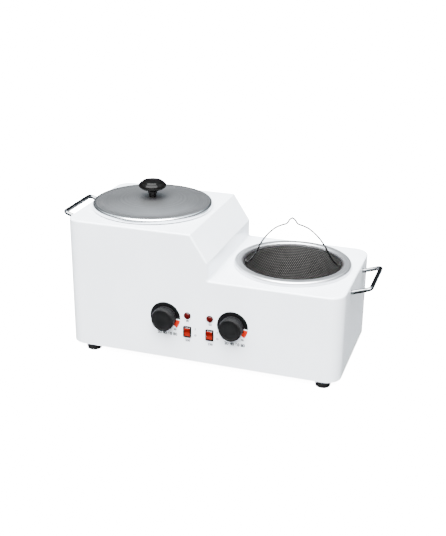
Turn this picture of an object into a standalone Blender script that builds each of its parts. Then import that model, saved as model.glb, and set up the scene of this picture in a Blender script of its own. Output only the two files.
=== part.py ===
"""Double-pot wax warmer: a stepped sheet-metal case with two lift-out pots, a lid, a strainer
basket, two thermostat knobs, two rocker switches, two pilot lamps and two side handles.

Metres, +Z up, the front faces -Y. The case stands on the ground plane, centred left to right,
and its depth is shifted so that the whole object's box is centred on the origin."""

import math

import bmesh
import bpy

MM = 0.001

# Clearances and build values shared by the pieces
GAP = 0.3 * MM
OVERRUN = 4.0 * MM
MERGE = 0.01 * MM
SHARP_ANGLE = math.radians(35)
CORNER_SEGMENTS = 6
EDGE_SEGMENTS = 2
POT_STEPS = 42
INNER_STEPS = 32
SMALL_STEPS = 18
SCREW_STEPS = 10
THIN_WIRE_SEGMENTS = 1
ROD_SEGMENTS = 2

# Case, set out from the two pots
TALL_HEIGHT = 241.5 * MM
LOW_HEIGHT = 160.0 * MM
LEFT_MARGIN = 14.5 * MM
RIGHT_MARGIN = 13.0 * MM
DEPTH_MARGIN = 20.0 * MM
SLOPE_MARGIN = 12.0 * MM
SLOPE_RUN = 32.3 * MM
STEP_MARGIN = 14.2 * MM
STEP_RISE = 32.0 * MM
CASE_CORNER_R = 28.0 * MM
CASE_EDGE_R = 3.5 * MM
SHEET = 1.5 * MM

# Feet and base plate
FOOT_HEIGHT = 12.7 * MM
FOOT_TOP_R = 15.0 * MM
FOOT_BOTTOM_R = 13.0 * MM
FOOT_RIM = 2.5 * MM
FOOT_EDGE_R = 0.8 * MM
FOOT_INSET_X = {"left": 42.0 * MM, "right": 29.5 * MM}
FOOT_INSET_Y = 15.5 * MM
FOOT_BORE_R = 5.0 * MM
FOOT_BORE_DEPTH = 6.0 * MM
FOOT_SCREW_R = 2.0 * MM
FOOT_SCREW_HEAD_R = 4.0 * MM
FOOT_SCREW_HEAD = 2.5 * MM
FOOT_SCREW_TAIL = 5.0 * MM
SCREW_CLEARANCE = 0.3 * MM
VENT_COUNT = 5
VENT_LENGTH = 70.0 * MM
VENT_WIDTH = 6.0 * MM
VENT_PITCH = 14.0 * MM

# Pots and their wells
LEFT_POT_RISE = 60.5 * MM
RIGHT_POT_RISE = 39.0 * MM
BORE_R = 91.0 * MM
FLANGE_WIDTH = 15.0 * MM
FLANGE_RISE = 9.0 * MM
FLANGE_EDGE_R = 4.0 * MM
BORE_EDGE_R = 3.0 * MM
SKIRT_GAP = 0.6 * MM
POT_SHEET = 1.5 * MM
POT_CORNER_R = 12.0 * MM
WELL_CLEARANCE = 2.0 * MM
WELL_SHEET = 1.5 * MM
WELL_LIP = 7.0 * MM
WELL_FLOOR_GAP = 3.0 * MM
WELL_HOLE_CLEARANCE = 0.5 * MM

# Heating round each well
BAND_THICKNESS = 2.5 * MM
BAND_RISE = 16.0 * MM
BAND_SPLIT = 7.0 * MM
BAND_EAR_THICKNESS = 2.0 * MM
BAND_EAR_REACH = 12.0 * MM
BAND_SCREW_R = 1.8 * MM
BAND_SCREW_HEAD_R = 3.5 * MM
BAND_SCREW_HEAD = 2.4 * MM
BAND_SCREW_TAIL = 3.0 * MM
SLEEVE_THICKNESS = 8.0 * MM
SLEEVE_RISE = 8.0 * MM
SLEEVE_TOP_GAP = 6.0 * MM
SLEEVE_SPLIT = 26.0 * MM
BULB_R = 3.0 * MM
BULB_LENGTH = 42.0 * MM
BULB_RISE = 12.0 * MM
LEFT_BULB_DROP = 55.5 * MM
RIGHT_BULB_DROP = 15.5 * MM
BULB_SLOT = 10.0 * MM
CAPILLARY_R = 0.9 * MM
CUTOUT_R = 8.0 * MM
CUTOUT_HEIGHT = 9.0 * MM
CUTOUT_PLATE_LENGTH = 26.0 * MM
CUTOUT_PLATE_WIDTH = 8.0 * MM
CUTOUT_PLATE = 1.2 * MM

# Lid and its knob
LID_OVERHANG = 5.0 * MM
LID_SHEET = 1.2 * MM
LID_EDGE_R = 4.0 * MM
LID_RIM_WIDTH = 12.0 * MM
LID_SKIRT_GAP = 2.0 * MM
LID_SHIFT = 1.5 * MM
LID_DOME = 8.0 * MM
LID_DOME_POINTS = 5
LID_SCREW_R = 2.2 * MM
LID_SCREW_HEAD_R = 4.5 * MM
LID_SCREW_HEAD = 2.2 * MM
LID_SCREW_GRIP = 9.0 * MM
LID_KNOB_HEIGHT = 30.0 * MM
LID_KNOB_R = 26.0 * MM
LID_KNOB_TOP_R = 17.5 * MM
LID_KNOB_CAP = 6.5 * MM
LID_KNOB_NECK = 11.0 * MM
LID_KNOB_NECK_R = 9.5 * MM
LID_KNOB_FOOT_R = 6.5 * MM

# Strainer basket and its bail
BASKET_CLEARANCE = 4.0 * MM
BASKET_SHEET = 0.9 * MM
BASKET_RIM_DROP = 4.0 * MM
BASKET_CORNER_R = 16.0 * MM
BASKET_BEAD_R = 1.6 * MM
BASKET_BEAD_START = 150
BASKET_BEAD_END = -90
BASKET_TURN = math.radians(13)
EAR_WIDTH = 12.0 * MM
EAR_HEIGHT = 22.0 * MM
EAR_SHEET = 1.2 * MM
EAR_DROP = 2.5 * MM
BAIL_WIRE_R = 1.5 * MM
BAIL_INSET = 7.0 * MM
BAIL_HEIGHT = 87.0 * MM
BAIL_LEAN = 4.0 * MM
BAIL_HOLE_CLEARANCE = 0.35 * MM
BAIL_SHARES = (
    (1.0, 0.0), (0.93, 0.07), (0.87, 0.15), (0.80, 0.27), (0.72, 0.415), (0.58, 0.60), (0.39, 0.765),
    (0.24, 0.835), (0.125, 0.875), (0.06, 0.958), (0.0, 1.0),
)

# Side handles
HANDLE_ROD_R = 4.0 * MM
HANDLE_SPACING = 106.0 * MM
HANDLE_REACH = 34.5 * MM
HANDLE_FORWARD = 5.0 * MM
HANDLE_TILT = math.radians(18)
HANDLE_BEND_R = 6.5 * MM
HANDLE_BEND_STEPS = 4
HANDLE_STUB = 3.0 * MM
HANDLE_DROP = 13.0 * MM
LEFT_HANDLE_DROP = 21.5 * MM
HANDLE_SCREW_R = 1.8 * MM
HANDLE_SCREW_HEAD_R = 4.0 * MM
HANDLE_SCREW_HEAD = 2.5 * MM
HANDLE_SCREW_GRIP = 3.6 * MM

# Controls on the front panel
CONTROL_X = 63.0 * MM
CONTROL_RISE = 80.0 * MM
KNOB_R = 21.5 * MM
KNOB_HEIGHT = 17.0 * MM
KNOB_GAP = 1.0 * MM
KNOB_RIBS = 24
KNOB_RIB_DEPTH = 0.7 * MM
KNOB_EDGE_R = 2.5 * MM
KNOB_BORE_DEPTH = 12.0 * MM
SHAFT_R = 3.0 * MM
SHAFT_CLEARANCE = 0.3 * MM
SHAFT_SOCKET = 8.0 * MM
BUSHING_R = 4.8 * MM
BUSHING_PROUD = 0.6 * MM
THERMOSTAT_WIDTH = 32.0 * MM
THERMOSTAT_HEIGHT = 26.0 * MM
THERMOSTAT_DEPTH = 24.0 * MM
THERMOSTAT_EDGE_R = 1.5 * MM
LAMP_X = 21.0 * MM
LAMP_RISE = 88.8 * MM
LENS_R = 6.5 * MM
LENS_HEIGHT = 3.2 * MM
LENS_EDGE_R = 1.8 * MM
LAMP_R = 4.8 * MM
LAMP_LENGTH = 24.0 * MM
LAMP_COLLAR_R = 7.5 * MM
LAMP_COLLAR = 2.0 * MM
SWITCH_RISE = 57.5 * MM
BEZEL_WIDTH = 15.0 * MM
BEZEL_HEIGHT = 21.0 * MM
BEZEL_THICKNESS = 2.0 * MM
BEZEL_CORNER_R = 1.5 * MM
SWITCH_BODY_WIDTH = 12.6 * MM
SWITCH_BODY_HEIGHT = 19.4 * MM
SWITCH_BODY_DEPTH = 15.0 * MM
ROCKER_WIDTH = 10.2 * MM
ROCKER_HALF = 7.0 * MM
ROCKER_PIVOT_DEPTH = 4.0 * MM
ROCKER_LIP = 1.2 * MM
ROCKER_SKIRT = 3.2 * MM
ROCKER_BELLY = 2.5 * MM
ROCKER_BELLY_HALF = 4.0 * MM
ROCKER_ANGLE = math.radians(9)
ROCKER_WELL_HALF = 8.9 * MM
ROCKER_WELL_DEPTH = 8.6 * MM

# Power inlet on the rear panel, terminal block and earth stud
INLET_RISE = 42.0 * MM
INLET_WIDTH = 50.0 * MM
INLET_HEIGHT = 22.5 * MM
INLET_FLANGE = 2.5 * MM
INLET_CORNER_R = 4.0 * MM
INLET_BODY_WIDTH = 27.4 * MM
INLET_BODY_HEIGHT = 19.6 * MM
INLET_BODY_DEPTH = 18.0 * MM
INLET_SOCKET_WIDTH = 24.0 * MM
INLET_SOCKET_HEIGHT = 16.4 * MM
INLET_SOCKET_DEPTH = 15.0 * MM
INLET_SOCKET_CHAMFER = 5.0 * MM
INLET_SCREW_PITCH = 40.0 * MM
INLET_SCREW_R = 1.4 * MM
INLET_SCREW_HEAD_R = 3.0 * MM
INLET_SCREW_HEAD = 1.8 * MM
INLET_SCREW_TAIL = 4.0 * MM
PIN_PITCH = 7.0 * MM
PIN_OFFSET = 2.0 * MM
PIN_WIDTH = 2.0 * MM
PIN_HEIGHT = 4.0 * MM
PIN_RECESS = 4.0 * MM
PIN_TAIL = 8.0 * MM
BLOCK_WIDTH = 40.0 * MM
BLOCK_DEPTH = 20.0 * MM
BLOCK_HEIGHT = 16.0 * MM
BLOCK_Y = 40.0 * MM
BLOCK_STEP = 5.0 * MM
BLOCK_POLES = 3
BLOCK_HOLE_R = 2.2 * MM
STUD_Y = 74.0 * MM
STUD_R = 2.0 * MM
STUD_NUT_R = 4.2 * MM
STUD_NUT = 3.2 * MM
STUD_WASHER_R = 6.0 * MM
STUD_WASHER = 1.0 * MM
STUD_HEIGHT = 14.0 * MM

# Levels and places that follow from the sizes above
FLANGE_R = BORE_R + FLANGE_WIDTH
LID_R = FLANGE_R + LID_OVERHANG
BASKET_R = BORE_R - BASKET_CLEARANCE
BAIL_HALF_SPAN = BASKET_R - BAIL_INSET
SLOPE_DROP = TALL_HEIGHT - LOW_HEIGHT - STEP_RISE
POT_SPACING = 2 * FLANGE_R + SLOPE_MARGIN + SLOPE_RUN + STEP_MARGIN
CASE_WIDTH = LEFT_MARGIN + FLANGE_R + POT_SPACING + FLANGE_R + RIGHT_MARGIN
CASE_DEPTH = 2 * (FLANGE_R + DEPTH_MARGIN)
LEFT_POT_X = LEFT_MARGIN + FLANGE_R - CASE_WIDTH / 2
RIGHT_POT_X = CASE_WIDTH / 2 - RIGHT_MARGIN - FLANGE_R
LID_X = LEFT_POT_X - LID_SHIFT
LEFT_POT_DEPTH = TALL_HEIGHT + FLANGE_RISE - LEFT_POT_RISE
RIGHT_POT_DEPTH = LOW_HEIGHT + FLANGE_RISE - RIGHT_POT_RISE
BASKET_HEIGHT = RIGHT_POT_DEPTH - GAP - BASKET_RIM_DROP
SLOPE_TOP_X = LEFT_POT_X + FLANGE_R + SLOPE_MARGIN
BASE_Z = FOOT_HEIGHT + GAP
PLATE_TOP_Z = BASE_Z + SHEET
TALL_Z = BASE_Z + TALL_HEIGHT
LOW_Z = BASE_Z + LOW_HEIGHT
FRONT_Y = -CASE_DEPTH / 2
REAR_Y = CASE_DEPTH / 2
WALL_INSIDE_Y = FRONT_Y + SHEET
WELL_BORE_R = BORE_R + POT_SHEET + WELL_CLEARANCE
WELL_R = WELL_BORE_R + WELL_SHEET
BAND_R = WELL_R + GAP
SLEEVE_R = BAND_R + BAND_THICKNESS + GAP
CONTROL_Z = BASE_Z + CONTROL_RISE
LAMP_Z = BASE_Z + LAMP_RISE
SWITCH_Z = BASE_Z + SWITCH_RISE
INLET_Z = BASE_Z + INLET_RISE
FRONT_REACH = KNOB_GAP + KNOB_HEIGHT
REAR_REACH = GAP + INLET_FLANGE + GAP + INLET_SCREW_HEAD
CASE_Y = (FRONT_REACH - REAR_REACH) / 2
POTS = {
    "left": {"x": LEFT_POT_X, "deck": TALL_Z, "depth": LEFT_POT_DEPTH,
             "bulb_drop": LEFT_BULB_DROP, "control": -CONTROL_X},
    "right": {"x": RIGHT_POT_X, "deck": LOW_Z, "depth": RIGHT_POT_DEPTH,
              "bulb_drop": RIGHT_BULB_DROP, "control": CONTROL_X},
}
SIDES = {"left": -1, "right": 1}

# Turns that lay a shape made along +Z on the front, rear or side of the case
FACING_FRONT = (math.radians(90), 0, 0)
FACING_REAR = (math.radians(90), 0, math.radians(180))
FACING_SIDE = {"left": (0, math.radians(-90), 0), "right": (0, math.radians(90), 0)}
ACROSS = (math.radians(90), 0, math.radians(90))


for leftover in list(bpy.data.objects):
    bpy.data.objects.remove(leftover, do_unlink=True)

parts = bpy.data.collections.new("wax_warmer")
cutters = bpy.data.collections.new("wax_warmer_cutters")
bpy.context.scene.collection.children.link(parts)
bpy.context.scene.collection.children.link(cutters)

case_frame = bpy.data.objects.new("case_frame", None)
case_frame.location = (0, CASE_Y, 0)
parts.objects.link(case_frame)


def make_material(name, colour, roughness, metallic=0.0):
    """One Principled material in the part's own colour."""
    finish = bpy.data.materials.new(name)
    finish.use_nodes = True
    shader = finish.node_tree.nodes["Principled BSDF"]
    shader.inputs["Base Color"].default_value = (*colour, 1.0)
    shader.inputs["Roughness"].default_value = roughness
    shader.inputs["Metallic"].default_value = metallic
    return finish


WHITE_ENAMEL = make_material("white_enamel", (0.84, 0.85, 0.86), 0.35)
ZINC_SHEET = make_material("zinc_sheet", (0.55, 0.56, 0.57), 0.45, 1.0)
BLACK_RUBBER = make_material("black_rubber", (0.02, 0.02, 0.02), 0.8)
STEEL = make_material("steel", (0.6, 0.6, 0.6), 0.3, 1.0)
CHROME = make_material("chrome", (0.8, 0.8, 0.82), 0.08, 1.0)
SPUN_ALUMINIUM = make_material("spun_aluminium", (0.72, 0.72, 0.73), 0.32, 1.0)
MICA_BAND = make_material("mica_band", (0.5, 0.48, 0.42), 0.5, 0.6)
MINERAL_WOOL = make_material("mineral_wool", (0.75, 0.7, 0.55), 0.95)
COPPER = make_material("copper", (0.75, 0.4, 0.25), 0.35, 1.0)
DARK_MESH = make_material("dark_mesh", (0.22, 0.22, 0.23), 0.4, 1.0)
BLACK_PLASTIC = make_material("black_plastic", (0.025, 0.025, 0.025), 0.4)
RED_LENS = make_material("red_lens", (0.35, 0.02, 0.02), 0.15)
RED_ROCKER = make_material("red_rocker", (0.75, 0.08, 0.03), 0.3)
BRASS = make_material("brass", (0.75, 0.6, 0.3), 0.35, 1.0)
CERAMIC = make_material("ceramic", (0.85, 0.82, 0.75), 0.6)


def place_piece(piece, place, turn):
    """Hang an object on the case's frame."""
    piece.location = place
    piece.rotation_euler = turn
    piece.parent = case_frame


def add_piece(name, mesh, finish, place=(0, 0, 0), turn=(0, 0, 0)):
    """A visible piece from a mesh, shaded smooth except at its sharp edges."""
    piece = bpy.data.objects.new(name, mesh)
    parts.objects.link(piece)
    place_piece(piece, place, turn)
    mesh.materials.append(finish)
    if mesh.polygons:
        mesh.shade_smooth()
        mesh.set_sharp_from_angle(angle=SHARP_ANGLE)
    return piece


def add_cutter(name, mesh, place=(0, 0, 0), turn=(0, 0, 0)):
    """A shape that only cuts or joins others."""
    cutter = bpy.data.objects.new(name, mesh)
    cutters.objects.link(cutter)
    place_piece(cutter, place, turn)
    cutter.hide_render = True
    cutter.display_type = 'WIRE'
    return cutter


def combine(piece, cutter, operation='DIFFERENCE'):
    """Cut a piece with a cutter, or join the cutter to it."""
    change = piece.modifiers.new(cutter.name, 'BOOLEAN')
    change.operation = operation
    change.solver = 'EXACT'
    change.object = cutter


def round_edges(piece, radius, segments=EDGE_SEGMENTS):
    """Round every sharp edge that a piece has so far."""
    bevel = piece.modifiers.new("Rounding", 'BEVEL')
    bevel.width = radius
    bevel.segments = segments
    bevel.limit_method = 'ANGLE'
    bevel.angle_limit = SHARP_ANGLE


def box_mesh(name, low, high):
    """A box between two corners."""
    bm = bmesh.new()
    bmesh.ops.create_cube(bm, size=1)
    size = [b - a for a, b in zip(low, high)]
    middle = [(a + b) / 2 for a, b in zip(low, high)]
    bmesh.ops.scale(bm, vec=size, verts=bm.verts)
    bmesh.ops.translate(bm, vec=middle, verts=bm.verts)
    mesh = bpy.data.meshes.new(name)
    bm.to_mesh(mesh)
    bm.free()
    return mesh


def rounded_box_mesh(name, width, depth, bottom, top, radius, segments=CORNER_SEGMENTS):
    """An upright box, centred on its axis, with its four vertical corners rounded."""
    bm = bmesh.new()
    bmesh.ops.create_cube(bm, size=1)
    bmesh.ops.scale(bm, vec=(width, depth, top - bottom), verts=bm.verts)
    bmesh.ops.translate(bm, vec=(0, 0, (top + bottom) / 2), verts=bm.verts)
    upright = [edge for edge in bm.edges if abs(edge.verts[0].co.z - edge.verts[1].co.z) > MERGE]
    bmesh.ops.bevel(bm, geom=upright, offset=radius, segments=segments, profile=0.5, affect='EDGES')
    mesh = bpy.data.meshes.new(name)
    bm.to_mesh(mesh)
    bm.free()
    return mesh


def cylinder_mesh(name, radius, bottom, top, steps=SMALL_STEPS):
    """A cylinder along +Z between two heights."""
    bm = bmesh.new()
    bmesh.ops.create_cone(bm, cap_ends=True, segments=steps, radius1=radius, radius2=radius,
                          depth=top - bottom)
    bmesh.ops.translate(bm, vec=(0, 0, (top + bottom) / 2), verts=bm.verts)
    mesh = bpy.data.meshes.new(name)
    bm.to_mesh(mesh)
    bm.free()
    return mesh


def mesh_from_curve(name, curve):
    """The closed mesh of a curve, with its caps welded on."""
    holder = bpy.data.objects.new(name, curve)
    cutters.objects.link(holder)
    bpy.context.view_layer.update()
    evaluated = holder.evaluated_get(bpy.context.evaluated_depsgraph_get())
    mesh = bpy.data.meshes.new_from_object(evaluated)
    bpy.data.objects.remove(holder, do_unlink=True)
    bm = bmesh.new()
    bm.from_mesh(mesh)
    bmesh.ops.remove_doubles(bm, verts=bm.verts, dist=MERGE)
    bmesh.ops.recalc_face_normals(bm, faces=bm.faces)
    bm.to_mesh(mesh)
    bm.free()
    return mesh


def outline_mesh(name, outline, bottom, top):
    """A flat outline in X and Y, extruded between two heights."""
    curve = bpy.data.curves.new(name, 'CURVE')
    curve.dimensions = '2D'
    curve.fill_mode = 'BOTH'
    curve.extrude = (top - bottom) / 2
    spline = curve.splines.new('POLY')
    spline.points.add(len(outline) - 1)
    for point, (across, along) in zip(spline.points, outline):
        point.co = (across, along, 0, 1)
    spline.use_cyclic_u = True
    mesh = mesh_from_curve(name, curve)
    for vertex in mesh.vertices:
        vertex.co.z += (top + bottom) / 2
    return mesh


def wire_curve(name, path, wire_r, segments, radii=None):
    """A round wire along a path, with filled ends. radii scales the wire at each point."""
    curve = bpy.data.curves.new(name, 'CURVE')
    curve.dimensions = '3D'
    curve.bevel_depth = wire_r
    curve.bevel_resolution = segments
    curve.use_fill_caps = True
    curve.render_resolution_u = 0
    spline = curve.splines.new('POLY')
    spline.points.add(len(path) - 1)
    for index, (x, y, z) in enumerate(path):
        spline.points[index].co = (x, y, z, 1)
        spline.points[index].radius = radii[index] if radii else 1.0
    return curve


def add_wire(name, curve, finish, place=(0, 0, 0), turn=(0, 0, 0)):
    """A visible piece that stays a curve."""
    piece = bpy.data.objects.new(name, curve)
    parts.objects.link(piece)
    place_piece(piece, place, turn)
    curve.materials.append(finish)
    return piece


def turned_mesh(name, outline, closed):
    """Half a section in X and Z, ready to be turned about Z."""
    edges = [(index, index + 1) for index in range(len(outline) - 1)]
    if closed:
        edges.append((len(outline) - 1, 0))
    mesh = bpy.data.meshes.new(name)
    mesh.from_pydata([(radius, 0, height) for radius, height in outline], edges, [])
    return mesh


def turn_round(piece, steps):
    """Turn a half section once round its own Z axis."""
    screw = piece.modifiers.new("Turned", 'SCREW')
    screw.steps = steps
    screw.render_steps = steps
    screw.use_merge_vertices = True
    screw.merge_threshold = MERGE
    screw.use_smooth_shade = True


def add_turned(name, outline, finish, steps, place, turn=(0, 0, 0), closed=False):
    """A turned piece. Its outline runs down its outer side."""
    piece = add_piece(name, turned_mesh(name, outline, closed), finish, place, turn)
    turn_round(piece, steps)
    return piece


def arc(centre, radius, start, end, count):
    """Points on a circle from one angle to another, in degrees, both ends included."""
    angles = [math.radians(start + (end - start) * step / (count - 1)) for step in range(count)]
    return [(centre[0] + radius * math.cos(a), centre[1] + radius * math.sin(a)) for a in angles]


def screw_outline(shank_r, head_r, head, length):
    """Head below, from -head to 0, and shank up to length, with its edges broken by a small land."""
    land = head / 3
    return [(0, length), (shank_r, length), (shank_r, 0), (head_r, 0), (head_r, -head + land),
            (head_r - land, -head), (0, -head)]


def step_outline(inset):
    """The space above the low deck, seen from the front, drawn in by the sheet where it is the inside."""
    slant = math.hypot(SLOPE_RUN, SLOPE_DROP) / SLOPE_DROP
    top_x = SLOPE_TOP_X - inset * slant
    fall = SLOPE_DROP / SLOPE_RUN
    wall_x = SLOPE_TOP_X + SLOPE_RUN - inset
    slope_foot_z = TALL_Z - (wall_x - top_x) * fall
    return [
        (wall_x, LOW_Z - inset),
        (CASE_WIDTH / 2 + OVERRUN, LOW_Z - inset),
        (CASE_WIDTH / 2 + OVERRUN, TALL_Z + OVERRUN),
        (top_x - OVERRUN / fall, TALL_Z + OVERRUN),
        (wall_x, slope_foot_z),
    ]


def add_step_cutter(name, inset):
    """Cuts the low deck and the slope out of the full-height block."""
    reach = CASE_DEPTH / 2 + OVERRUN
    return add_cutter(name, outline_mesh(name, step_outline(inset), -reach, reach), turn=FACING_FRONT)


def handle_root_z(side):
    """Height of a side handle's two roots."""
    return {"left": TALL_Z - LEFT_HANDLE_DROP, "right": LOW_Z - HANDLE_DROP}[side]


def build_housing():
    """The painted case: rounded block, stepped, hollowed to one sheet, open below."""
    block = rounded_box_mesh("housing_shell", CASE_WIDTH, CASE_DEPTH, BASE_Z - OVERRUN, TALL_Z,
                             CASE_CORNER_R)
    housing = add_piece("housing_shell", block, WHITE_ENAMEL)
    combine(housing, add_step_cutter("step_outside", 0))
    round_edges(housing, CASE_EDGE_R)

    hollow_mesh = rounded_box_mesh("hollow", CASE_WIDTH - 2 * SHEET, CASE_DEPTH - 2 * SHEET,
                                   BASE_Z - 2 * OVERRUN, TALL_Z - SHEET, CASE_CORNER_R - SHEET)
    hollow = add_cutter("hollow", hollow_mesh)
    combine(hollow, add_step_cutter("step_inside", SHEET))
    round_edges(hollow, CASE_EDGE_R - SHEET, 1)
    combine(housing, hollow)

    reach_x = CASE_WIDTH / 2 + OVERRUN
    reach_y = CASE_DEPTH / 2 + OVERRUN
    trim = box_mesh("trim", (-reach_x, -reach_y, BASE_Z - 2 * OVERRUN), (reach_x, reach_y, BASE_Z))
    combine(housing, add_cutter("trim", trim))

    for side, pot in POTS.items():
        name = side + "_well_hole"
        hole = cylinder_mesh(name, WELL_R + WELL_HOLE_CLEARANCE, pot["deck"] - SHEET - OVERRUN,
                             pot["deck"] + OVERRUN, INNER_STEPS)
        combine(housing, add_cutter(name, hole, (pot["x"], 0, 0)))
    for side, sign in SIDES.items():
        cut_front_holes(housing, side, sign)
        cut_handle_holes(housing, side, sign)
    cut_inlet_hole(housing)


def cut_front_holes(housing, side, sign):
    """Holes for one thermostat bushing, one lamp and one switch."""
    shaft_hole = cylinder_mesh(side + "_shaft_hole", BUSHING_R + GAP, -SHEET - OVERRUN, OVERRUN)
    combine(housing, add_cutter(side + "_shaft_hole", shaft_hole, (sign * CONTROL_X, FRONT_Y, CONTROL_Z),
                                FACING_FRONT))
    lamp_hole = cylinder_mesh(side + "_lamp_hole", LAMP_R + GAP, -SHEET - OVERRUN, OVERRUN)
    combine(housing, add_cutter(side + "_lamp_hole", lamp_hole, (sign * LAMP_X, FRONT_Y, LAMP_Z),
                                FACING_FRONT))
    half_width = SWITCH_BODY_WIDTH / 2 + GAP
    half_height = SWITCH_BODY_HEIGHT / 2 + GAP
    switch_hole = box_mesh(side + "_switch_hole", (-half_width, -OVERRUN, -half_height),
                           (half_width, SHEET + OVERRUN, half_height))
    combine(housing, add_cutter(side + "_switch_hole", switch_hole, (sign * LAMP_X, FRONT_Y, SWITCH_Z)))


def cut_handle_holes(housing, side, sign):
    """Two screw holes for one side handle."""
    for end, end_sign in SIDES.items():
        name = side + "_handle_hole_" + end
        hole = cylinder_mesh(name, HANDLE_SCREW_R + SCREW_CLEARANCE, -SHEET - OVERRUN, OVERRUN, SCREW_STEPS)
        end_y = end_sign * HANDLE_SPACING / 2 - HANDLE_FORWARD
        place = (sign * CASE_WIDTH / 2, end_y, handle_root_z(side))
        combine(housing, add_cutter(name, hole, place, FACING_SIDE[side]))


def cut_inlet_hole(housing):
    """Cut-out and two screw holes for the power inlet."""
    half_width = INLET_BODY_WIDTH / 2 + GAP
    half_height = INLET_BODY_HEIGHT / 2 + GAP
    hole = box_mesh("inlet_hole", (-half_width, -SHEET - OVERRUN, -half_height),
                    (half_width, OVERRUN, half_height))
    combine(housing, add_cutter("inlet_hole", hole, (0, REAR_Y, INLET_Z)))
    for end, sign in SIDES.items():
        name = "inlet_screw_hole_" + end
        screw_hole = cylinder_mesh(name, INLET_SCREW_R + SCREW_CLEARANCE, -SHEET - OVERRUN, OVERRUN,
                                   SCREW_STEPS)
        place = (sign * INLET_SCREW_PITCH / 2, REAR_Y, INLET_Z)
        combine(housing, add_cutter(name, screw_hole, place, FACING_REAR))


def build_base_plate():
    """Bottom plate inside the case's lower edge, with rows of vent slots and the foot screw holes."""
    margin = SHEET + GAP
    plate_mesh = rounded_box_mesh("base_plate", CASE_WIDTH - 2 * margin, CASE_DEPTH - 2 * margin, BASE_Z,
                                  PLATE_TOP_Z, CASE_CORNER_R - margin)
    plate = add_piece("base_plate", plate_mesh, ZINC_SHEET)
    for side, pot in POTS.items():
        for index in range(VENT_COUNT):
            name = side + "_vent_" + str(index + 1)
            slot = rounded_box_mesh(name, VENT_LENGTH, VENT_WIDTH, BASE_Z - OVERRUN, PLATE_TOP_Z + OVERRUN,
                                    VENT_WIDTH / 2 - MERGE, 2)
            slot_y = (index - (VENT_COUNT - 1) / 2) * VENT_PITCH
            combine(plate, add_cutter(name, slot, (pot["x"], slot_y, 0)))
    for name, place in foot_places().items():
        hole = cylinder_mesh(name + "_hole", FOOT_SCREW_R + SCREW_CLEARANCE, BASE_Z - OVERRUN,
                             PLATE_TOP_Z + OVERRUN, SCREW_STEPS)
        combine(plate, add_cutter(name + "_hole", hole, place))


def foot_places():
    """Name and centre of each foot."""
    places = {}
    for end, end_sign in {"front": -1, "rear": 1}.items():
        for side, sign in SIDES.items():
            x = sign * (CASE_WIDTH / 2 - FOOT_INSET_X[side])
            y = end_sign * (CASE_DEPTH / 2 - FOOT_INSET_Y)
            places[end + "_" + side] = (x, y, 0)
    return places


def build_feet():
    """Four tapered rubber feet with a screw up through each."""
    bore_r = FOOT_SCREW_R + SCREW_CLEARANCE
    foot_outline = [
        (FOOT_TOP_R, FOOT_HEIGHT),
        (FOOT_TOP_R, FOOT_HEIGHT - FOOT_RIM),
        (FOOT_BOTTOM_R, FOOT_EDGE_R),
        (FOOT_BOTTOM_R - FOOT_EDGE_R, 0),
        (FOOT_BORE_R, 0),
        (FOOT_BORE_R, FOOT_BORE_DEPTH),
        (bore_r, FOOT_BORE_DEPTH),
        (bore_r, FOOT_HEIGHT),
    ]
    head_z = FOOT_BORE_DEPTH - GAP
    shank = PLATE_TOP_Z + FOOT_SCREW_TAIL - head_z
    outline = screw_outline(FOOT_SCREW_R, FOOT_SCREW_HEAD_R, FOOT_SCREW_HEAD, shank)
    for name, (x, y, z) in foot_places().items():
        add_turned(name + "_foot", foot_outline, BLACK_RUBBER, SMALL_STEPS, (x, y, z), closed=True)
        add_turned(name + "_foot_screw", outline, STEEL, SCREW_STEPS, (x, y, head_z))


def pot_floor_z(pot):
    """Height of a pot's inner floor."""
    return pot["deck"] + FLANGE_RISE - pot["depth"]


def well_floor_z(pot):
    """Height of a well's outer floor."""
    return pot_floor_z(pot) - POT_SHEET - WELL_FLOOR_GAP - WELL_SHEET


def band_height(pot):
    """The band fills the well's height below its sensor bulb, which hangs a set drop under the deck."""
    room = pot["deck"] - SHEET - pot["bulb_drop"] - well_floor_z(pot)
    return room - BULB_LENGTH - BULB_RISE - BAND_RISE


def build_pot(side, pot):
    """Spun pot: floor, wall and a wide flange that turns down to the deck."""
    top = pot["deck"] + FLANGE_RISE
    floor = pot_floor_z(pot)
    skirt = pot["deck"] + SKIRT_GAP
    outer_wall = BORE_R + POT_SHEET
    inner_corner = POT_CORNER_R - POT_SHEET
    outline = [(0, floor)]
    outline += arc((BORE_R - inner_corner, floor + inner_corner), inner_corner, -90, 0, 3)
    outline += arc((BORE_R + BORE_EDGE_R, top - BORE_EDGE_R), BORE_EDGE_R, 180, 90, 3)
    outline += arc((FLANGE_R - FLANGE_EDGE_R, top - FLANGE_EDGE_R), FLANGE_EDGE_R, 90, 0, 4)
    outline += [(FLANGE_R, skirt), (FLANGE_R - POT_SHEET, skirt)]
    outline += arc((FLANGE_R - FLANGE_EDGE_R, top - FLANGE_EDGE_R), FLANGE_EDGE_R - POT_SHEET, 0, 90, 2)
    outline += arc((BORE_R + BORE_EDGE_R, top - BORE_EDGE_R), BORE_EDGE_R - POT_SHEET, 90, 180, 2)
    outline += arc((outer_wall - POT_CORNER_R, floor - POT_SHEET + POT_CORNER_R), POT_CORNER_R, 0, -90, 3)
    outline += [(0, floor - POT_SHEET)]
    add_turned(side + "_pot", outline, SPUN_ALUMINIUM, POT_STEPS, (pot["x"], 0, 0))


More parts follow.
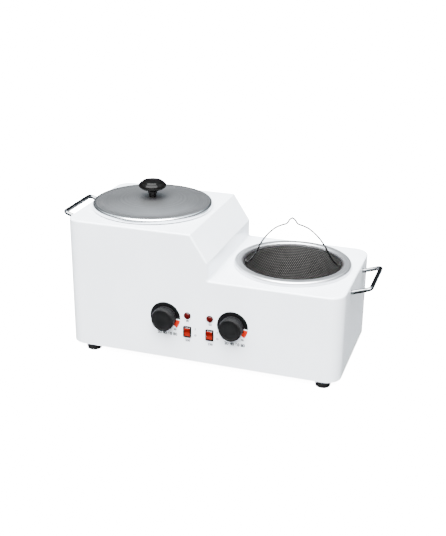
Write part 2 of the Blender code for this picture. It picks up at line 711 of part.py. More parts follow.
def build_well(side, pot):
    """Steel can that hangs on the deck by its lip. The pot's flange rests on its rim."""
    rim = pot["deck"] + FLANGE_RISE - POT_SHEET - GAP
    lip = pot["deck"] + GAP
    floor = well_floor_z(pot)
    lip_r = WELL_R + WELL_LIP
    inner_corner = POT_CORNER_R - WELL_SHEET
    outline = [(0, floor + WELL_SHEET)]
    outline += arc((WELL_BORE_R - inner_corner, floor + POT_CORNER_R), inner_corner, -90, 0, 3)
    outline += [(WELL_BORE_R, rim), (WELL_R, rim), (WELL_R, lip + WELL_SHEET), (lip_r, lip + WELL_SHEET),
                (lip_r, lip), (WELL_R, lip)]
    outline += arc((WELL_R - POT_CORNER_R, floor + POT_CORNER_R), POT_CORNER_R, 0, -90, 3)
    outline += [(0, floor)]
    add_turned(side + "_well", outline, ZINC_SHEET, INNER_STEPS, (pot["x"], 0, 0))


def build_band_heater(side, pot):
    """Split band round the well, drawn tight by a screw through its two ears at the rear."""
    bottom = well_floor_z(pot) + BAND_RISE
    top = bottom + band_height(pot)
    outer = BAND_R + BAND_THICKNESS
    outline = [(outer, top), (outer, bottom), (BAND_R, bottom), (BAND_R, top)]
    place = (pot["x"], 0, 0)
    band = add_turned(side + "_band_heater", outline, MICA_BAND, INNER_STEPS, place, closed=True)
    half_split = BAND_SPLIT / 2
    split = box_mesh(side + "_band_split", (-half_split, 0, bottom - OVERRUN),
                     (half_split, outer + OVERRUN, top + OVERRUN))
    combine(band, add_cutter(side + "_band_split", split, place))
    ear_low = bottom + band_height(pot) / 3
    ear_high = top - band_height(pot) / 3
    screw_y = outer + BAND_EAR_REACH / 2
    screw_z = (bottom + top) / 2
    for end, sign in SIDES.items():
        near = sign * half_split
        far = sign * (half_split + BAND_EAR_THICKNESS)
        root = outer - BAND_THICKNESS / 2
        tip = outer + BAND_EAR_REACH
        name = side + "_band_ear_" + end
        ear = box_mesh(name, (min(near, far), root, ear_low), (max(near, far), tip, ear_high))
        combine(band, add_cutter(name, ear, place), 'UNION')
    half_hole = half_split + BAND_EAR_THICKNESS + OVERRUN
    hole = cylinder_mesh(side + "_band_hole", BAND_SCREW_R + SCREW_CLEARANCE, -half_hole, half_hole,
                         SCREW_STEPS)
    screw_place = (pot["x"], screw_y, screw_z)
    combine(band, add_cutter(side + "_band_hole", hole, screw_place, FACING_SIDE["right"]))

    length = 2 * (half_split + BAND_EAR_THICKNESS) + GAP + BAND_SCREW_TAIL
    head_x = pot["x"] - half_split - BAND_EAR_THICKNESS - GAP
    clamp = screw_outline(BAND_SCREW_R, BAND_SCREW_HEAD_R, BAND_SCREW_HEAD, length)
    add_turned(side + "_band_screw", clamp, STEEL, SCREW_STEPS, (head_x, screw_y, screw_z),
               FACING_SIDE["right"])


def bulb_place(pot):
    """Plan position of a sensor bulb, against the well on the side of its thermostat."""
    away_x = pot["control"] - pot["x"]
    away_y = WALL_INSIDE_Y + THERMOSTAT_DEPTH / 2
    share = (WELL_R + GAP + BULB_R) / math.hypot(away_x, away_y)
    return pot["x"] + away_x * share, away_y * share


def build_sleeve(side, pot):
    """Insulation round the band, split at the rear for its ears and notched for the sensor bulb."""
    bottom = well_floor_z(pot) + SLEEVE_RISE
    top = pot["deck"] - SHEET - SLEEVE_TOP_GAP
    outer = SLEEVE_R + SLEEVE_THICKNESS
    outline = [(outer, top), (outer, bottom), (SLEEVE_R, bottom), (SLEEVE_R, top)]
    place = (pot["x"], 0, 0)
    sleeve = add_turned(side + "_insulation", outline, MINERAL_WOOL, INNER_STEPS, place, closed=True)
    split = box_mesh(side + "_sleeve_split", (-SLEEVE_SPLIT / 2, 0, bottom - OVERRUN),
                     (SLEEVE_SPLIT / 2, outer + OVERRUN, top + OVERRUN))
    combine(sleeve, add_cutter(side + "_sleeve_split", split, place))
    bulb_x, bulb_y = bulb_place(pot)
    notch_z = well_floor_z(pot) + BAND_RISE + band_height(pot) + BULB_RISE / 2
    notch = box_mesh(side + "_sleeve_notch", (0, -BULB_SLOT / 2, notch_z),
                     (outer + OVERRUN, BULB_SLOT / 2, top + OVERRUN))
    heading = math.atan2(bulb_y, bulb_x - pot["x"])
    combine(sleeve, add_cutter(side + "_sleeve_notch", notch, place, (0, 0, heading)))


def build_sensor(side, pot):
    """Capillary tube from the thermostat's top, through the notch and up into its bulb."""
    bulb_x, bulb_y = bulb_place(pot)
    start_x = pot["control"]
    start_y = WALL_INSIDE_Y + THERMOSTAT_DEPTH / 2
    start_z = CONTROL_Z + THERMOSTAT_HEIGHT / 2 + GAP
    bulb_z = well_floor_z(pot) + BAND_RISE + band_height(pot) + BULB_RISE
    cross_z = bulb_z - BULB_R
    bend = BULB_R
    path = [
        (start_x, start_y, start_z),
        (start_x, start_y, cross_z - bend),
        (start_x + (bulb_x - start_x) / 6, start_y + (bulb_y - start_y) / 6, cross_z),
        (bulb_x + (start_x - bulb_x) / 8, bulb_y + (start_y - bulb_y) / 8, cross_z),
        (bulb_x, bulb_y, bulb_z - CAPILLARY_R),
        (bulb_x, bulb_y, bulb_z),
        (bulb_x, bulb_y, bulb_z + BULB_LENGTH),
    ]
    swell = BULB_R / CAPILLARY_R
    curve = wire_curve(side + "_sensor_bulb", path, CAPILLARY_R, THIN_WIRE_SEGMENTS,
                       [1, 1, 1, 1, 1, swell, swell])
    add_wire(side + "_sensor_bulb", curve, COPPER)


def build_cutout(side, pot):
    """Thermal cut-out pressed against the well's floor by its own plate."""
    top = well_floor_z(pot) - GAP
    outline = [(0, top), (CUTOUT_R, top), (CUTOUT_R, top - CUTOUT_HEIGHT), (0, top - CUTOUT_HEIGHT)]
    place = (pot["x"], 0, 0)
    cutout = add_turned(side + "_thermal_cutout", outline, CERAMIC, SMALL_STEPS, place)
    plate_top = top - CUTOUT_HEIGHT / 2
    plate = box_mesh(side + "_cutout_plate",
                     (-CUTOUT_PLATE_LENGTH / 2, -CUTOUT_PLATE_WIDTH / 2, plate_top - CUTOUT_PLATE),
                     (CUTOUT_PLATE_LENGTH / 2, CUTOUT_PLATE_WIDTH / 2, plate_top))
    combine(cutout, add_cutter(side + "_cutout_plate", plate, place), 'UNION')


def lid_inside_z():
    """Underside of the lid's shoulder, just above the left pot's flange."""
    return TALL_Z + FLANGE_RISE + GAP


def lid_top_z():
    """Top of the lid's dome."""
    return lid_inside_z() + LID_SHEET + LID_DOME


def build_lid():
    """Shallow spun dome with a turned-down skirt outside the pot's flange, and its screw hole."""
    under = lid_inside_z()
    over = under + LID_SHEET
    skirt = TALL_Z + LID_SKIRT_GAP
    hole_r = LID_SCREW_R + SCREW_CLEARANCE
    edge_centre = (LID_R - LID_EDGE_R, over - LID_EDGE_R)
    dome_r = LID_R - LID_EDGE_R - LID_RIM_WIDTH

    def dome(radius, level):
        return level + LID_DOME * (1 - (radius / dome_r) ** 2)

    reach = dome_r - hole_r
    dome_radii = [hole_r + reach * step / (LID_DOME_POINTS - 1) for step in range(LID_DOME_POINTS)]
    outline = [(radius, dome(radius, over)) for radius in dome_radii]
    outline += arc(edge_centre, LID_EDGE_R, 90, 0, 3)
    outline += [(LID_R, skirt), (LID_R - LID_SHEET, skirt)]
    outline += arc(edge_centre, LID_EDGE_R - LID_SHEET, 0, 90, 2)
    outline += [(radius, dome(radius, under)) for radius in reversed(dome_radii)]
    add_turned("lid", outline, SPUN_ALUMINIUM, POT_STEPS, (LID_X, 0, 0), closed=True)


def build_lid_knob():
    """Mushroom knob of black moulding on a waisted stem, held by a screw up through the lid."""
    foot = lid_top_z() + GAP
    hole_r = LID_SCREW_R + SCREW_CLEARANCE
    cap_z = LID_KNOB_HEIGHT - LID_KNOB_CAP
    blend_r = LID_KNOB_CAP / 3
    outline = [
        (0, LID_KNOB_HEIGHT),
        (LID_KNOB_TOP_R, LID_KNOB_HEIGHT),
        (LID_KNOB_TOP_R + blend_r, LID_KNOB_HEIGHT - blend_r / 2),
        (LID_KNOB_R - blend_r, cap_z + blend_r),
        (LID_KNOB_R, cap_z),
        (LID_KNOB_R - blend_r / 2, cap_z - 2 * blend_r),
        (LID_KNOB_R - 2 * blend_r, cap_z - 3 * blend_r),
        (LID_KNOB_NECK_R + 2 * blend_r, LID_KNOB_NECK + blend_r),
        (LID_KNOB_NECK_R, LID_KNOB_NECK),
        (LID_KNOB_FOOT_R, 0),
        (hole_r, 0),
        (hole_r, LID_SCREW_GRIP + GAP),
        (0, LID_SCREW_GRIP + GAP),
    ]
    add_turned("lid_knob", outline, BLACK_PLASTIC, SMALL_STEPS, (LID_X, 0, foot))
    under_z = lid_inside_z() + LID_DOME
    head_z = under_z - GAP
    length = foot + LID_SCREW_GRIP - head_z
    screw = screw_outline(LID_SCREW_R, LID_SCREW_HEAD_R, LID_SCREW_HEAD, length)
    add_turned("lid_knob_screw", screw, STEEL, SCREW_STEPS, (LID_X, 0, head_z))


def basket_floor_z():
    """The basket stands on the right pot's floor."""
    return pot_floor_z(POTS["right"]) + GAP


def ear_hole_z():
    """Height of the bail's pivot axis."""
    return basket_floor_z() + BASKET_HEIGHT - EAR_DROP


def build_basket():
    """Strainer: perforated wall and floor in one, with a rolled bead at the rim."""
    floor = basket_floor_z()
    rim = floor + BASKET_HEIGHT
    inner = BASKET_R - BASKET_SHEET
    inner_corner = BASKET_CORNER_R - BASKET_SHEET
    bead = (BASKET_R + BASKET_BEAD_R / 2, rim - BASKET_BEAD_R)
    outline = [(0, floor + BASKET_SHEET)]
    outline += arc((inner - inner_corner, floor + BASKET_CORNER_R), inner_corner, -90, 0, 3)
    outline += [(inner, bead[1])]
    outline += arc(bead, BASKET_BEAD_R, BASKET_BEAD_START, BASKET_BEAD_END, 6)
    outline += [(BASKET_R, bead[1] - BASKET_BEAD_R)]
    outline += arc((BASKET_R - BASKET_CORNER_R, floor + BASKET_CORNER_R), BASKET_CORNER_R, 0, -90, 3)
    outline += [(0, floor)]
    add_turned("strainer_basket", outline, DARK_MESH, POT_STEPS, (RIGHT_POT_X, 0, 0))


def build_bail_ears():
    """Two plates inside the basket's rim, each with a hole that traps one end of the bail."""
    half = EAR_WIDTH / 2
    inner = BASKET_R - BASKET_SHEET
    outer_face = math.sqrt((inner - GAP) ** 2 - half ** 2)
    outline = arc((0, 0), half, 0, 180, 7) + [(-half, half - EAR_HEIGHT), (half, half - EAR_HEIGHT)]
    for side, sign in SIDES.items():
        heading = BASKET_TURN + (0 if side == "right" else math.pi)
        turn = (math.radians(90), 0, heading + math.radians(90))
        place = (RIGHT_POT_X, 0, ear_hole_z())
        name = "bail_ear_" + side
        ear = add_piece(name, outline_mesh(name, outline, outer_face - EAR_SHEET, outer_face), STEEL,
                        place, turn)
        hole = cylinder_mesh(name + "_hole", BAIL_WIRE_R + BAIL_HOLE_CLEARANCE,
                             outer_face - EAR_SHEET - OVERRUN, outer_face + OVERRUN, SCREW_STEPS)
        combine(ear, add_cutter(name + "_hole", hole, place, turn))


def smooth_path(points, between):
    """A smooth line through points: each gap is filled by the cubic that its neighbours give."""
    filled = []
    for index in range(len(points) - 1):
        before = points[max(index - 1, 0)]
        start, end = points[index], points[index + 1]
        after = points[min(index + 2, len(points) - 1)]
        for step in range(between):
            t = step / between
            filled.append(tuple(
                b + t * (c - a) / 2 + t * t * (a - 5 * b / 2 + 2 * c - d / 2)
                + t * t * t * (3 * b - a - 3 * c + d) / 2
                for a, b, c, d in zip(before, start, end, after)))
    return filled + [points[-1]]


def build_bail():
    """Bent wire handle: an arch with a small peak, a little off centre, its ends turned out."""
    inner = BASKET_R - BASKET_SHEET
    tip = inner - GAP * 2
    half_path = [(BAIL_HALF_SPAN * across, 0, BAIL_HEIGHT * up) for across, up in BAIL_SHARES]
    right_half = smooth_path(half_path, 2)
    left_half = [(-x, y, z) for x, y, z in reversed(right_half[:-1])]
    path = [(tip, 0, 0)] + right_half + left_half + [(-tip, 0, 0)]
    path = [(x - BAIL_LEAN * z / BAIL_HEIGHT, y, z) for x, y, z in path]
    curve = wire_curve("bail_handle", path, BAIL_WIRE_R, THIN_WIRE_SEGMENTS)
    add_wire("bail_handle", curve, STEEL, (RIGHT_POT_X, 0, ear_hole_z()), (0, 0, BASKET_TURN))


def handle_path():
    """Centre line of a side handle, in its own frame: out along +X, across along Y, rising by its tilt."""
    rise = math.tan(HANDLE_TILT)
    half = HANDLE_SPACING / 2
    bend = arc((HANDLE_REACH - HANDLE_BEND_R, half - HANDLE_BEND_R), HANDLE_BEND_R, 90, 0,
               HANDLE_BEND_STEPS)
    plan = [(GAP, half), (HANDLE_STUB, half)] + bend
    plan += [(x, -y) for x, y in reversed(plan)]
    return [(x, y, max(x - HANDLE_STUB, 0) * rise) for x, y in plan]


def build_handles():
    """Two chromed rods bent to a U, tilted up, screwed on from inside the case."""
    for side, sign in SIDES.items():
        root = (sign * CASE_WIDTH / 2, -HANDLE_FORWARD, handle_root_z(side))
        name = side + "_side_handle"
        path = [(sign * x, y, z) for x, y, z in handle_path()]
        mesh = mesh_from_curve(name, wire_curve(name, path, HANDLE_ROD_R, ROD_SEGMENTS))
        handle = add_piece(name, mesh, CHROME, root)
        for end, end_sign in SIDES.items():
            end_y = end_sign * HANDLE_SPACING / 2 - HANDLE_FORWARD
            hole_name = name + "_hole_" + end
            hole = cylinder_mesh(hole_name, HANDLE_SCREW_R + SCREW_CLEARANCE, -OVERRUN,
                                 HANDLE_SCREW_GRIP + GAP, SCREW_STEPS)
            combine(handle, add_cutter(hole_name, hole, (root[0], end_y, root[2]), FACING_SIDE[side]))
            head_x = root[0] - sign * (SHEET + GAP)
            outline = screw_outline(HANDLE_SCREW_R, HANDLE_SCREW_HEAD_R, HANDLE_SCREW_HEAD,
                                    SHEET + GAP + HANDLE_SCREW_GRIP)
            add_turned(name + "_screw_" + end, outline, STEEL, SCREW_STEPS, (head_x, end_y, root[2]),
                       FACING_SIDE[side])


def knob_outline():
    """Round knob outline with a shallow groove between ribs."""
    points = []
    for index in range(2 * KNOB_RIBS):
        radius = KNOB_R - KNOB_RIB_DEPTH * (index % 2)
        angle = math.pi * index / KNOB_RIBS
        points.append((radius * math.cos(angle), radius * math.sin(angle)))
    return points


def build_control(side, sign):
    """One thermostat behind the panel, its shaft through the panel and the knob on the shaft."""
    place = (sign * CONTROL_X, FRONT_Y, CONTROL_Z)
    name = side + "_control_knob"
    knob_mesh = outline_mesh(name, knob_outline(), KNOB_GAP, KNOB_GAP + KNOB_HEIGHT)
    knob = add_piece(name, knob_mesh, BLACK_PLASTIC, place, FACING_FRONT)
    round_front = knob.modifiers.new("Front edge", 'BEVEL')
    round_front.width = KNOB_EDGE_R
    round_front.segments = EDGE_SEGMENTS
    round_front.limit_method = 'ANGLE'
    round_front.angle_limit = math.radians(60)
    bore = cylinder_mesh(name + "_bore", SHAFT_R + SHAFT_CLEARANCE, KNOB_GAP - OVERRUN,
                         KNOB_GAP + KNOB_BORE_DEPTH)
    combine(knob, add_cutter(name + "_bore", bore, place, FACING_FRONT))

    name = side + "_thermostat_body"
    low = -SHEET - GAP - THERMOSTAT_DEPTH
    body_mesh = box_mesh(name, (-THERMOSTAT_WIDTH / 2, -THERMOSTAT_HEIGHT / 2, low),
                         (THERMOSTAT_WIDTH / 2, THERMOSTAT_HEIGHT / 2, -SHEET - GAP))
    body = add_piece(name, body_mesh, CERAMIC, place, FACING_FRONT)
    round_edges(body, THERMOSTAT_EDGE_R, 1)
    bushing = cylinder_mesh(name + "_bushing", BUSHING_R, -SHEET - 2 * OVERRUN, BUSHING_PROUD)
    combine(body, add_cutter(name + "_bushing", bushing, place, FACING_FRONT), 'UNION')
    socket = -SHEET - GAP - SHAFT_SOCKET
    socket_cut = cylinder_mesh(name + "_socket", SHAFT_R + SHAFT_CLEARANCE, socket, OVERRUN)
    combine(body, add_cutter(name + "_socket", socket_cut, place, FACING_FRONT))

    shaft_end = KNOB_GAP + KNOB_BORE_DEPTH - GAP
    outline = [(0, shaft_end), (SHAFT_R, shaft_end), (SHAFT_R, socket + GAP), (0, socket + GAP)]
    add_turned(side + "_thermostat_shaft", outline, BRASS, SMALL_STEPS, place, FACING_FRONT)


def build_lamp(side, sign):
    """Red lens on the panel and the lamp body behind it, held by its collar."""
    place = (sign * LAMP_X, FRONT_Y, LAMP_Z)
    lens = [(0, LENS_HEIGHT)]
    lens += arc((LENS_R - LENS_EDGE_R, LENS_HEIGHT - LENS_EDGE_R), LENS_EDGE_R, 90, 0, 3)
    lens += [(LENS_R, GAP), (0, GAP)]
    add_turned(side + "_indicator_lens", lens, RED_LENS, SMALL_STEPS, place, FACING_FRONT)
    collar_top = -SHEET - GAP
    body = [
        (0, 0),
        (LAMP_R, 0),
        (LAMP_R, collar_top),
        (LAMP_COLLAR_R, collar_top),
        (LAMP_COLLAR_R, collar_top - LAMP_COLLAR),
        (LAMP_R, collar_top - LAMP_COLLAR),
        (LAMP_R, -LAMP_LENGTH),
        (0, -LAMP_LENGTH),
    ]
    add_turned(side + "_indicator_body", body, BLACK_PLASTIC, SMALL_STEPS, place, FACING_FRONT)


def rocker_outline():
    """Rocker seen from its end, pivot at zero: a dished front and a belly that swings in the switch."""
    front = ROCKER_PIVOT_DEPTH
    return [
        (-front, 0),
        (-front - ROCKER_LIP, ROCKER_HALF),
        (ROCKER_SKIRT - front - ROCKER_LIP, ROCKER_HALF),
        (ROCKER_BELLY, ROCKER_BELLY_HALF),
        (ROCKER_BELLY, -ROCKER_BELLY_HALF),
        (ROCKER_SKIRT - front - ROCKER_LIP, -ROCKER_HALF),
        (-front - ROCKER_LIP, -ROCKER_HALF),
    ]


def build_switch(side, sign):
    """Rocker switch: bezel and body in one, with a well that the rocker swings in."""
    place = (sign * LAMP_X, FRONT_Y, SWITCH_Z)
    name = side + "_switch_housing"
    face = GAP + BEZEL_THICKNESS
    bezel = rounded_box_mesh(name, BEZEL_WIDTH, BEZEL_HEIGHT, GAP, face, BEZEL_CORNER_R, EDGE_SEGMENTS)
    housing = add_piece(name, bezel, BLACK_PLASTIC, place, FACING_FRONT)
    body = box_mesh(name + "_body", (-SWITCH_BODY_WIDTH / 2, -SWITCH_BODY_HEIGHT / 2, -SWITCH_BODY_DEPTH),
                    (SWITCH_BODY_WIDTH / 2, SWITCH_BODY_HEIGHT / 2, GAP + BEZEL_THICKNESS / 2))
    combine(housing, add_cutter(name + "_body", body, place, FACING_FRONT), 'UNION')
    half_well = ROCKER_WIDTH / 2 + GAP
    well = box_mesh(name + "_well", (-half_well, -ROCKER_WELL_HALF, face - ROCKER_WELL_DEPTH),
                    (half_well, ROCKER_WELL_HALF, face + OVERRUN))
    combine(housing, add_cutter(name + "_well", well, place, FACING_FRONT))

    name = side + "_rocker"
    rocker_mesh = outline_mesh(name, rocker_outline(), -ROCKER_WIDTH / 2, ROCKER_WIDTH / 2)
    pivot = (place[0], FRONT_Y - face + ROCKER_PIVOT_DEPTH, SWITCH_Z)
    for vertex in rocker_mesh.vertices:
        turn_point(vertex.co, ROCKER_ANGLE)
    add_piece(name, rocker_mesh, RED_ROCKER, pivot, ACROSS)


def turn_point(point, angle):
    """Turn a point of an outline about its origin."""
    x, y = point.x, point.y
    point.x = x * math.cos(angle) - y * math.sin(angle)
    point.y = x * math.sin(angle) + y * math.cos(angle)


def build_inlet():
    """Appliance inlet: flanged socket with a chamfered mouth, three pins and two screws."""
    place = (0, REAR_Y, INLET_Z)
    face = GAP + INLET_FLANGE
    flange = rounded_box_mesh("power_inlet", INLET_WIDTH, INLET_HEIGHT, GAP, face, INLET_CORNER_R,
                              EDGE_SEGMENTS)
    inlet = add_piece("power_inlet", flange, BLACK_PLASTIC, place, FACING_REAR)
    body = box_mesh("inlet_body", (-INLET_BODY_WIDTH / 2, -INLET_BODY_HEIGHT / 2, -INLET_BODY_DEPTH),
                    (INLET_BODY_WIDTH / 2, INLET_BODY_HEIGHT / 2, GAP + INLET_FLANGE / 2))
    combine(inlet, add_cutter("inlet_body", body, place, FACING_REAR), 'UNION')
    half_width = INLET_SOCKET_WIDTH / 2
    half_height = INLET_SOCKET_HEIGHT / 2
    mouth = [
        (-half_width, -half_height),
        (half_width, -half_height),
        (half_width, half_height - INLET_SOCKET_CHAMFER),
        (half_width - INLET_SOCKET_CHAMFER, half_height),
        (INLET_SOCKET_CHAMFER - half_width, half_height),
        (-half_width, half_height - INLET_SOCKET_CHAMFER),
    ]
    socket_floor = face - INLET_SOCKET_DEPTH
    socket = outline_mesh("inlet_socket", mouth, socket_floor, face + OVERRUN)
    combine(inlet, add_cutter("inlet_socket", socket, place, FACING_REAR))

    pins = {"line": (-PIN_PITCH, -PIN_OFFSET), "neutral": (PIN_PITCH, -PIN_OFFSET), "earth": (0, PIN_OFFSET)}
    for pin, (x, y) in pins.items():
        half_x = PIN_WIDTH / 2
        half_y = PIN_HEIGHT / 2
        slot = box_mesh(pin + "_slot", (x - half_x - GAP, y - half_y - GAP, -INLET_BODY_DEPTH - OVERRUN),
                        (x + half_x + GAP, y + half_y + GAP, face))
        combine(inlet, add_cutter(pin + "_slot", slot, place, FACING_REAR))
        blade = box_mesh("inlet_pin_" + pin, (x - half_x, y - half_y, -INLET_BODY_DEPTH - PIN_TAIL),
                         (x + half_x, y + half_y, face - PIN_RECESS))
        add_piece("inlet_pin_" + pin, blade, BRASS, place, FACING_REAR)

    for end, sign in SIDES.items():
        name = "inlet_screw_" + end
        screw_place = (sign * INLET_SCREW_PITCH / 2, REAR_Y, INLET_Z)
        hole = cylinder_mesh(name + "_bore", INLET_SCREW_R + SCREW_CLEARANCE, -OVERRUN, face + OVERRUN,
                             SCREW_STEPS)
        combine(inlet, add_cutter(name + "_bore", hole, screw_place, FACING_REAR))
        length = face + GAP + SHEET + INLET_SCREW_TAIL
        outline = screw_outline(INLET_SCREW_R, INLET_SCREW_HEAD_R, INLET_SCREW_HEAD, length)
        head_place = (screw_place[0], REAR_Y + face + GAP, INLET_Z)
        add_turned(name, outline, STEEL, SCREW_STEPS, head_place, FACING_FRONT)


def build_terminal_block():
    """Terminal block on the base plate, stepped down at its wire side, with a hole for each wire."""
    bottom = PLATE_TOP_Z + GAP
    top = bottom + BLOCK_HEIGHT
    block = add_piece("terminal_block",
                      box_mesh("terminal_block", (-BLOCK_WIDTH / 2, -BLOCK_DEPTH / 2, bottom),
                               (BLOCK_WIDTH / 2, BLOCK_DEPTH / 2, top)), CERAMIC, (0, BLOCK_Y, 0))
    step = box_mesh("block_step", (-BLOCK_WIDTH / 2 - OVERRUN, -BLOCK_DEPTH / 2 - OVERRUN, top - BLOCK_STEP),
                    (BLOCK_WIDTH / 2 + OVERRUN, BLOCK_STEP - BLOCK_DEPTH / 2, top + OVERRUN))
    combine(block, add_cutter("block_step", step, (0, BLOCK_Y, 0)))
    pitch = BLOCK_WIDTH / BLOCK_POLES
    reach = BLOCK_DEPTH / 2 + OVERRUN
    for index in range(BLOCK_POLES):
        x = (index - (BLOCK_POLES - 1) / 2) * pitch
        name = "block_wire_hole_" + str(index + 1)
        hole = cylinder_mesh(name, BLOCK_HOLE_R, -reach, reach, SCREW_STEPS)
        combine(block, add_cutter(name, hole, (x, BLOCK_Y, bottom + BLOCK_HEIGHT / 3), FACING_FRONT))


def build_earth_stud():
    """Stud with its washer and nut on the base plate."""
    bottom = PLATE_TOP_Z + GAP
    washer = bottom + STUD_WASHER
    nut = washer + STUD_NUT
    outline = [(0, bottom + STUD_HEIGHT), (STUD_R, bottom + STUD_HEIGHT), (STUD_R, nut), (STUD_NUT_R, nut),
               (STUD_NUT_R, washer), (STUD_WASHER_R, washer), (STUD_WASHER_R, bottom), (0, bottom)]
    add_turned("earth_stud", outline, BRASS, SCREW_STEPS, (0, STUD_Y, 0))


build_housing()
build_base_plate()
build_feet()
for pot_side, pot_sizes in POTS.items():
    build_pot(pot_side, pot_sizes)
    build_well(pot_side, pot_sizes)
    build_band_heater(pot_side, pot_sizes)
    build_sleeve(pot_side, pot_sizes)
    build_sensor(pot_side, pot_sizes)
    build_cutout(pot_side, pot_sizes)
build_lid()
build_lid_knob()
build_basket()
build_bail_ears()
build_bail()
build_handles()
for panel_side, panel_sign in SIDES.items():
    build_control(panel_side, panel_sign)
    build_lamp(panel_side, panel_sign)
    build_switch(panel_side, panel_sign)
build_inlet()
build_terminal_block()
build_earth_stud()
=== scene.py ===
import math

import bmesh
import bpy
import numpy as np
from mathutils import Matrix, Vector


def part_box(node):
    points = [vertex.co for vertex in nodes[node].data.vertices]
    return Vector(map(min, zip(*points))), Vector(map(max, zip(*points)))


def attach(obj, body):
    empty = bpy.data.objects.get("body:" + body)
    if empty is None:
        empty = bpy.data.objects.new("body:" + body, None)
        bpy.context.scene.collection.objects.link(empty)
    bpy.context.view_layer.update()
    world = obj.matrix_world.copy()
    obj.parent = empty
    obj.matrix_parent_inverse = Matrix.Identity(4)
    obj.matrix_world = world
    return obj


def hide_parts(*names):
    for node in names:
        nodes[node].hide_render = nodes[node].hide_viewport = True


# Looks of the double-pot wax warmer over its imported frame. Metres, +Z up, the panel faces -Y.
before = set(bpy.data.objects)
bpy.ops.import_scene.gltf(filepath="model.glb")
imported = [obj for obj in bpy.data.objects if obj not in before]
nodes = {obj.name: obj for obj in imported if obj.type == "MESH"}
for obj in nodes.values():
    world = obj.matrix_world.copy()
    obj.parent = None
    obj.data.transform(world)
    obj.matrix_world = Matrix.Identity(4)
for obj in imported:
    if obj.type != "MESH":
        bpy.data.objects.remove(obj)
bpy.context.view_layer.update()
mm = 0.001
caseY = 6.55 * mm
crease = math.radians(40)    # an edge bent more than this stays sharp

camera = {
    "place": (0.50423, -1.51978, 0.79374),
    "yaw": 18.177,       # degrees, turned left of +Y
    "pitch": 21.889,     # degrees below level
    "roll": 0.652,
    "lens": 62.355,
    "sensor": 36.0,
}

case = {
    "halfWidth": 255.0 * mm,
    "halfDepth": 126.0 * mm,
    "base": 13.0 * mm,
    "tallDeck": 254.5 * mm,
    "lowDeck": 173.0 * mm,
    "slopeTopX": -16.5 * mm,
    "stepX": 15.8 * mm,
    "slopeFoot": 205.0 * mm,
    "cornerR": 28.0 * mm,
    "edgeR": 3.5 * mm,
    "sheet": 1.5 * mm,
    "cornerSteps": 20,
    "edgeSteps": 6,
    "wellHoleR": 96.5 * mm,
    "inletHole": (28.0 * mm, 20.2 * mm),
    "inletZ": 55.0 * mm,
}

pots = {
    "left": {"x": -134.5 * mm, "top": 263.5 * mm, "floor": 73.5 * mm, "skirt": 255.1 * mm},
    "right": {"x": 136.0 * mm, "top": 182.0 * mm, "floor": 52.0 * mm, "skirt": 173.6 * mm},
}
potShape = {"bore": 91.0 * mm, "flange": 106.0 * mm, "sheet": 1.5 * mm, "corner": 12.0 * mm,
            "boreEdge": 3.0 * mm, "flangeEdge": 4.0 * mm, "steps": 192}


# Camera
def setUpCamera():
    yaw, pitch, roll = (math.radians(camera[key]) for key in ("yaw", "pitch", "roll"))
    ahead = Vector((-math.sin(yaw) * math.cos(pitch), math.cos(yaw) * math.cos(pitch), -math.sin(pitch)))
    right = Vector((math.cos(yaw), math.sin(yaw), 0))
    up = right.cross(ahead)
    rolledRight = math.cos(roll) * right + math.sin(roll) * up
    rolledUp = math.cos(roll) * up - math.sin(roll) * right
    turn = Matrix((rolledRight, rolledUp, -ahead)).transposed().to_4x4()
    data = bpy.data.cameras.new("studioCamera")
    data.lens = camera["lens"]
    data.sensor_width = camera["sensor"]
    data.clip_end = 50
    body = bpy.data.objects.new("studioCamera", data)
    body.matrix_world = Matrix.Translation(camera["place"]) @ turn
    bpy.context.scene.collection.objects.link(body)
    bpy.context.scene.camera = body


setUpCamera()
print("camera placed")


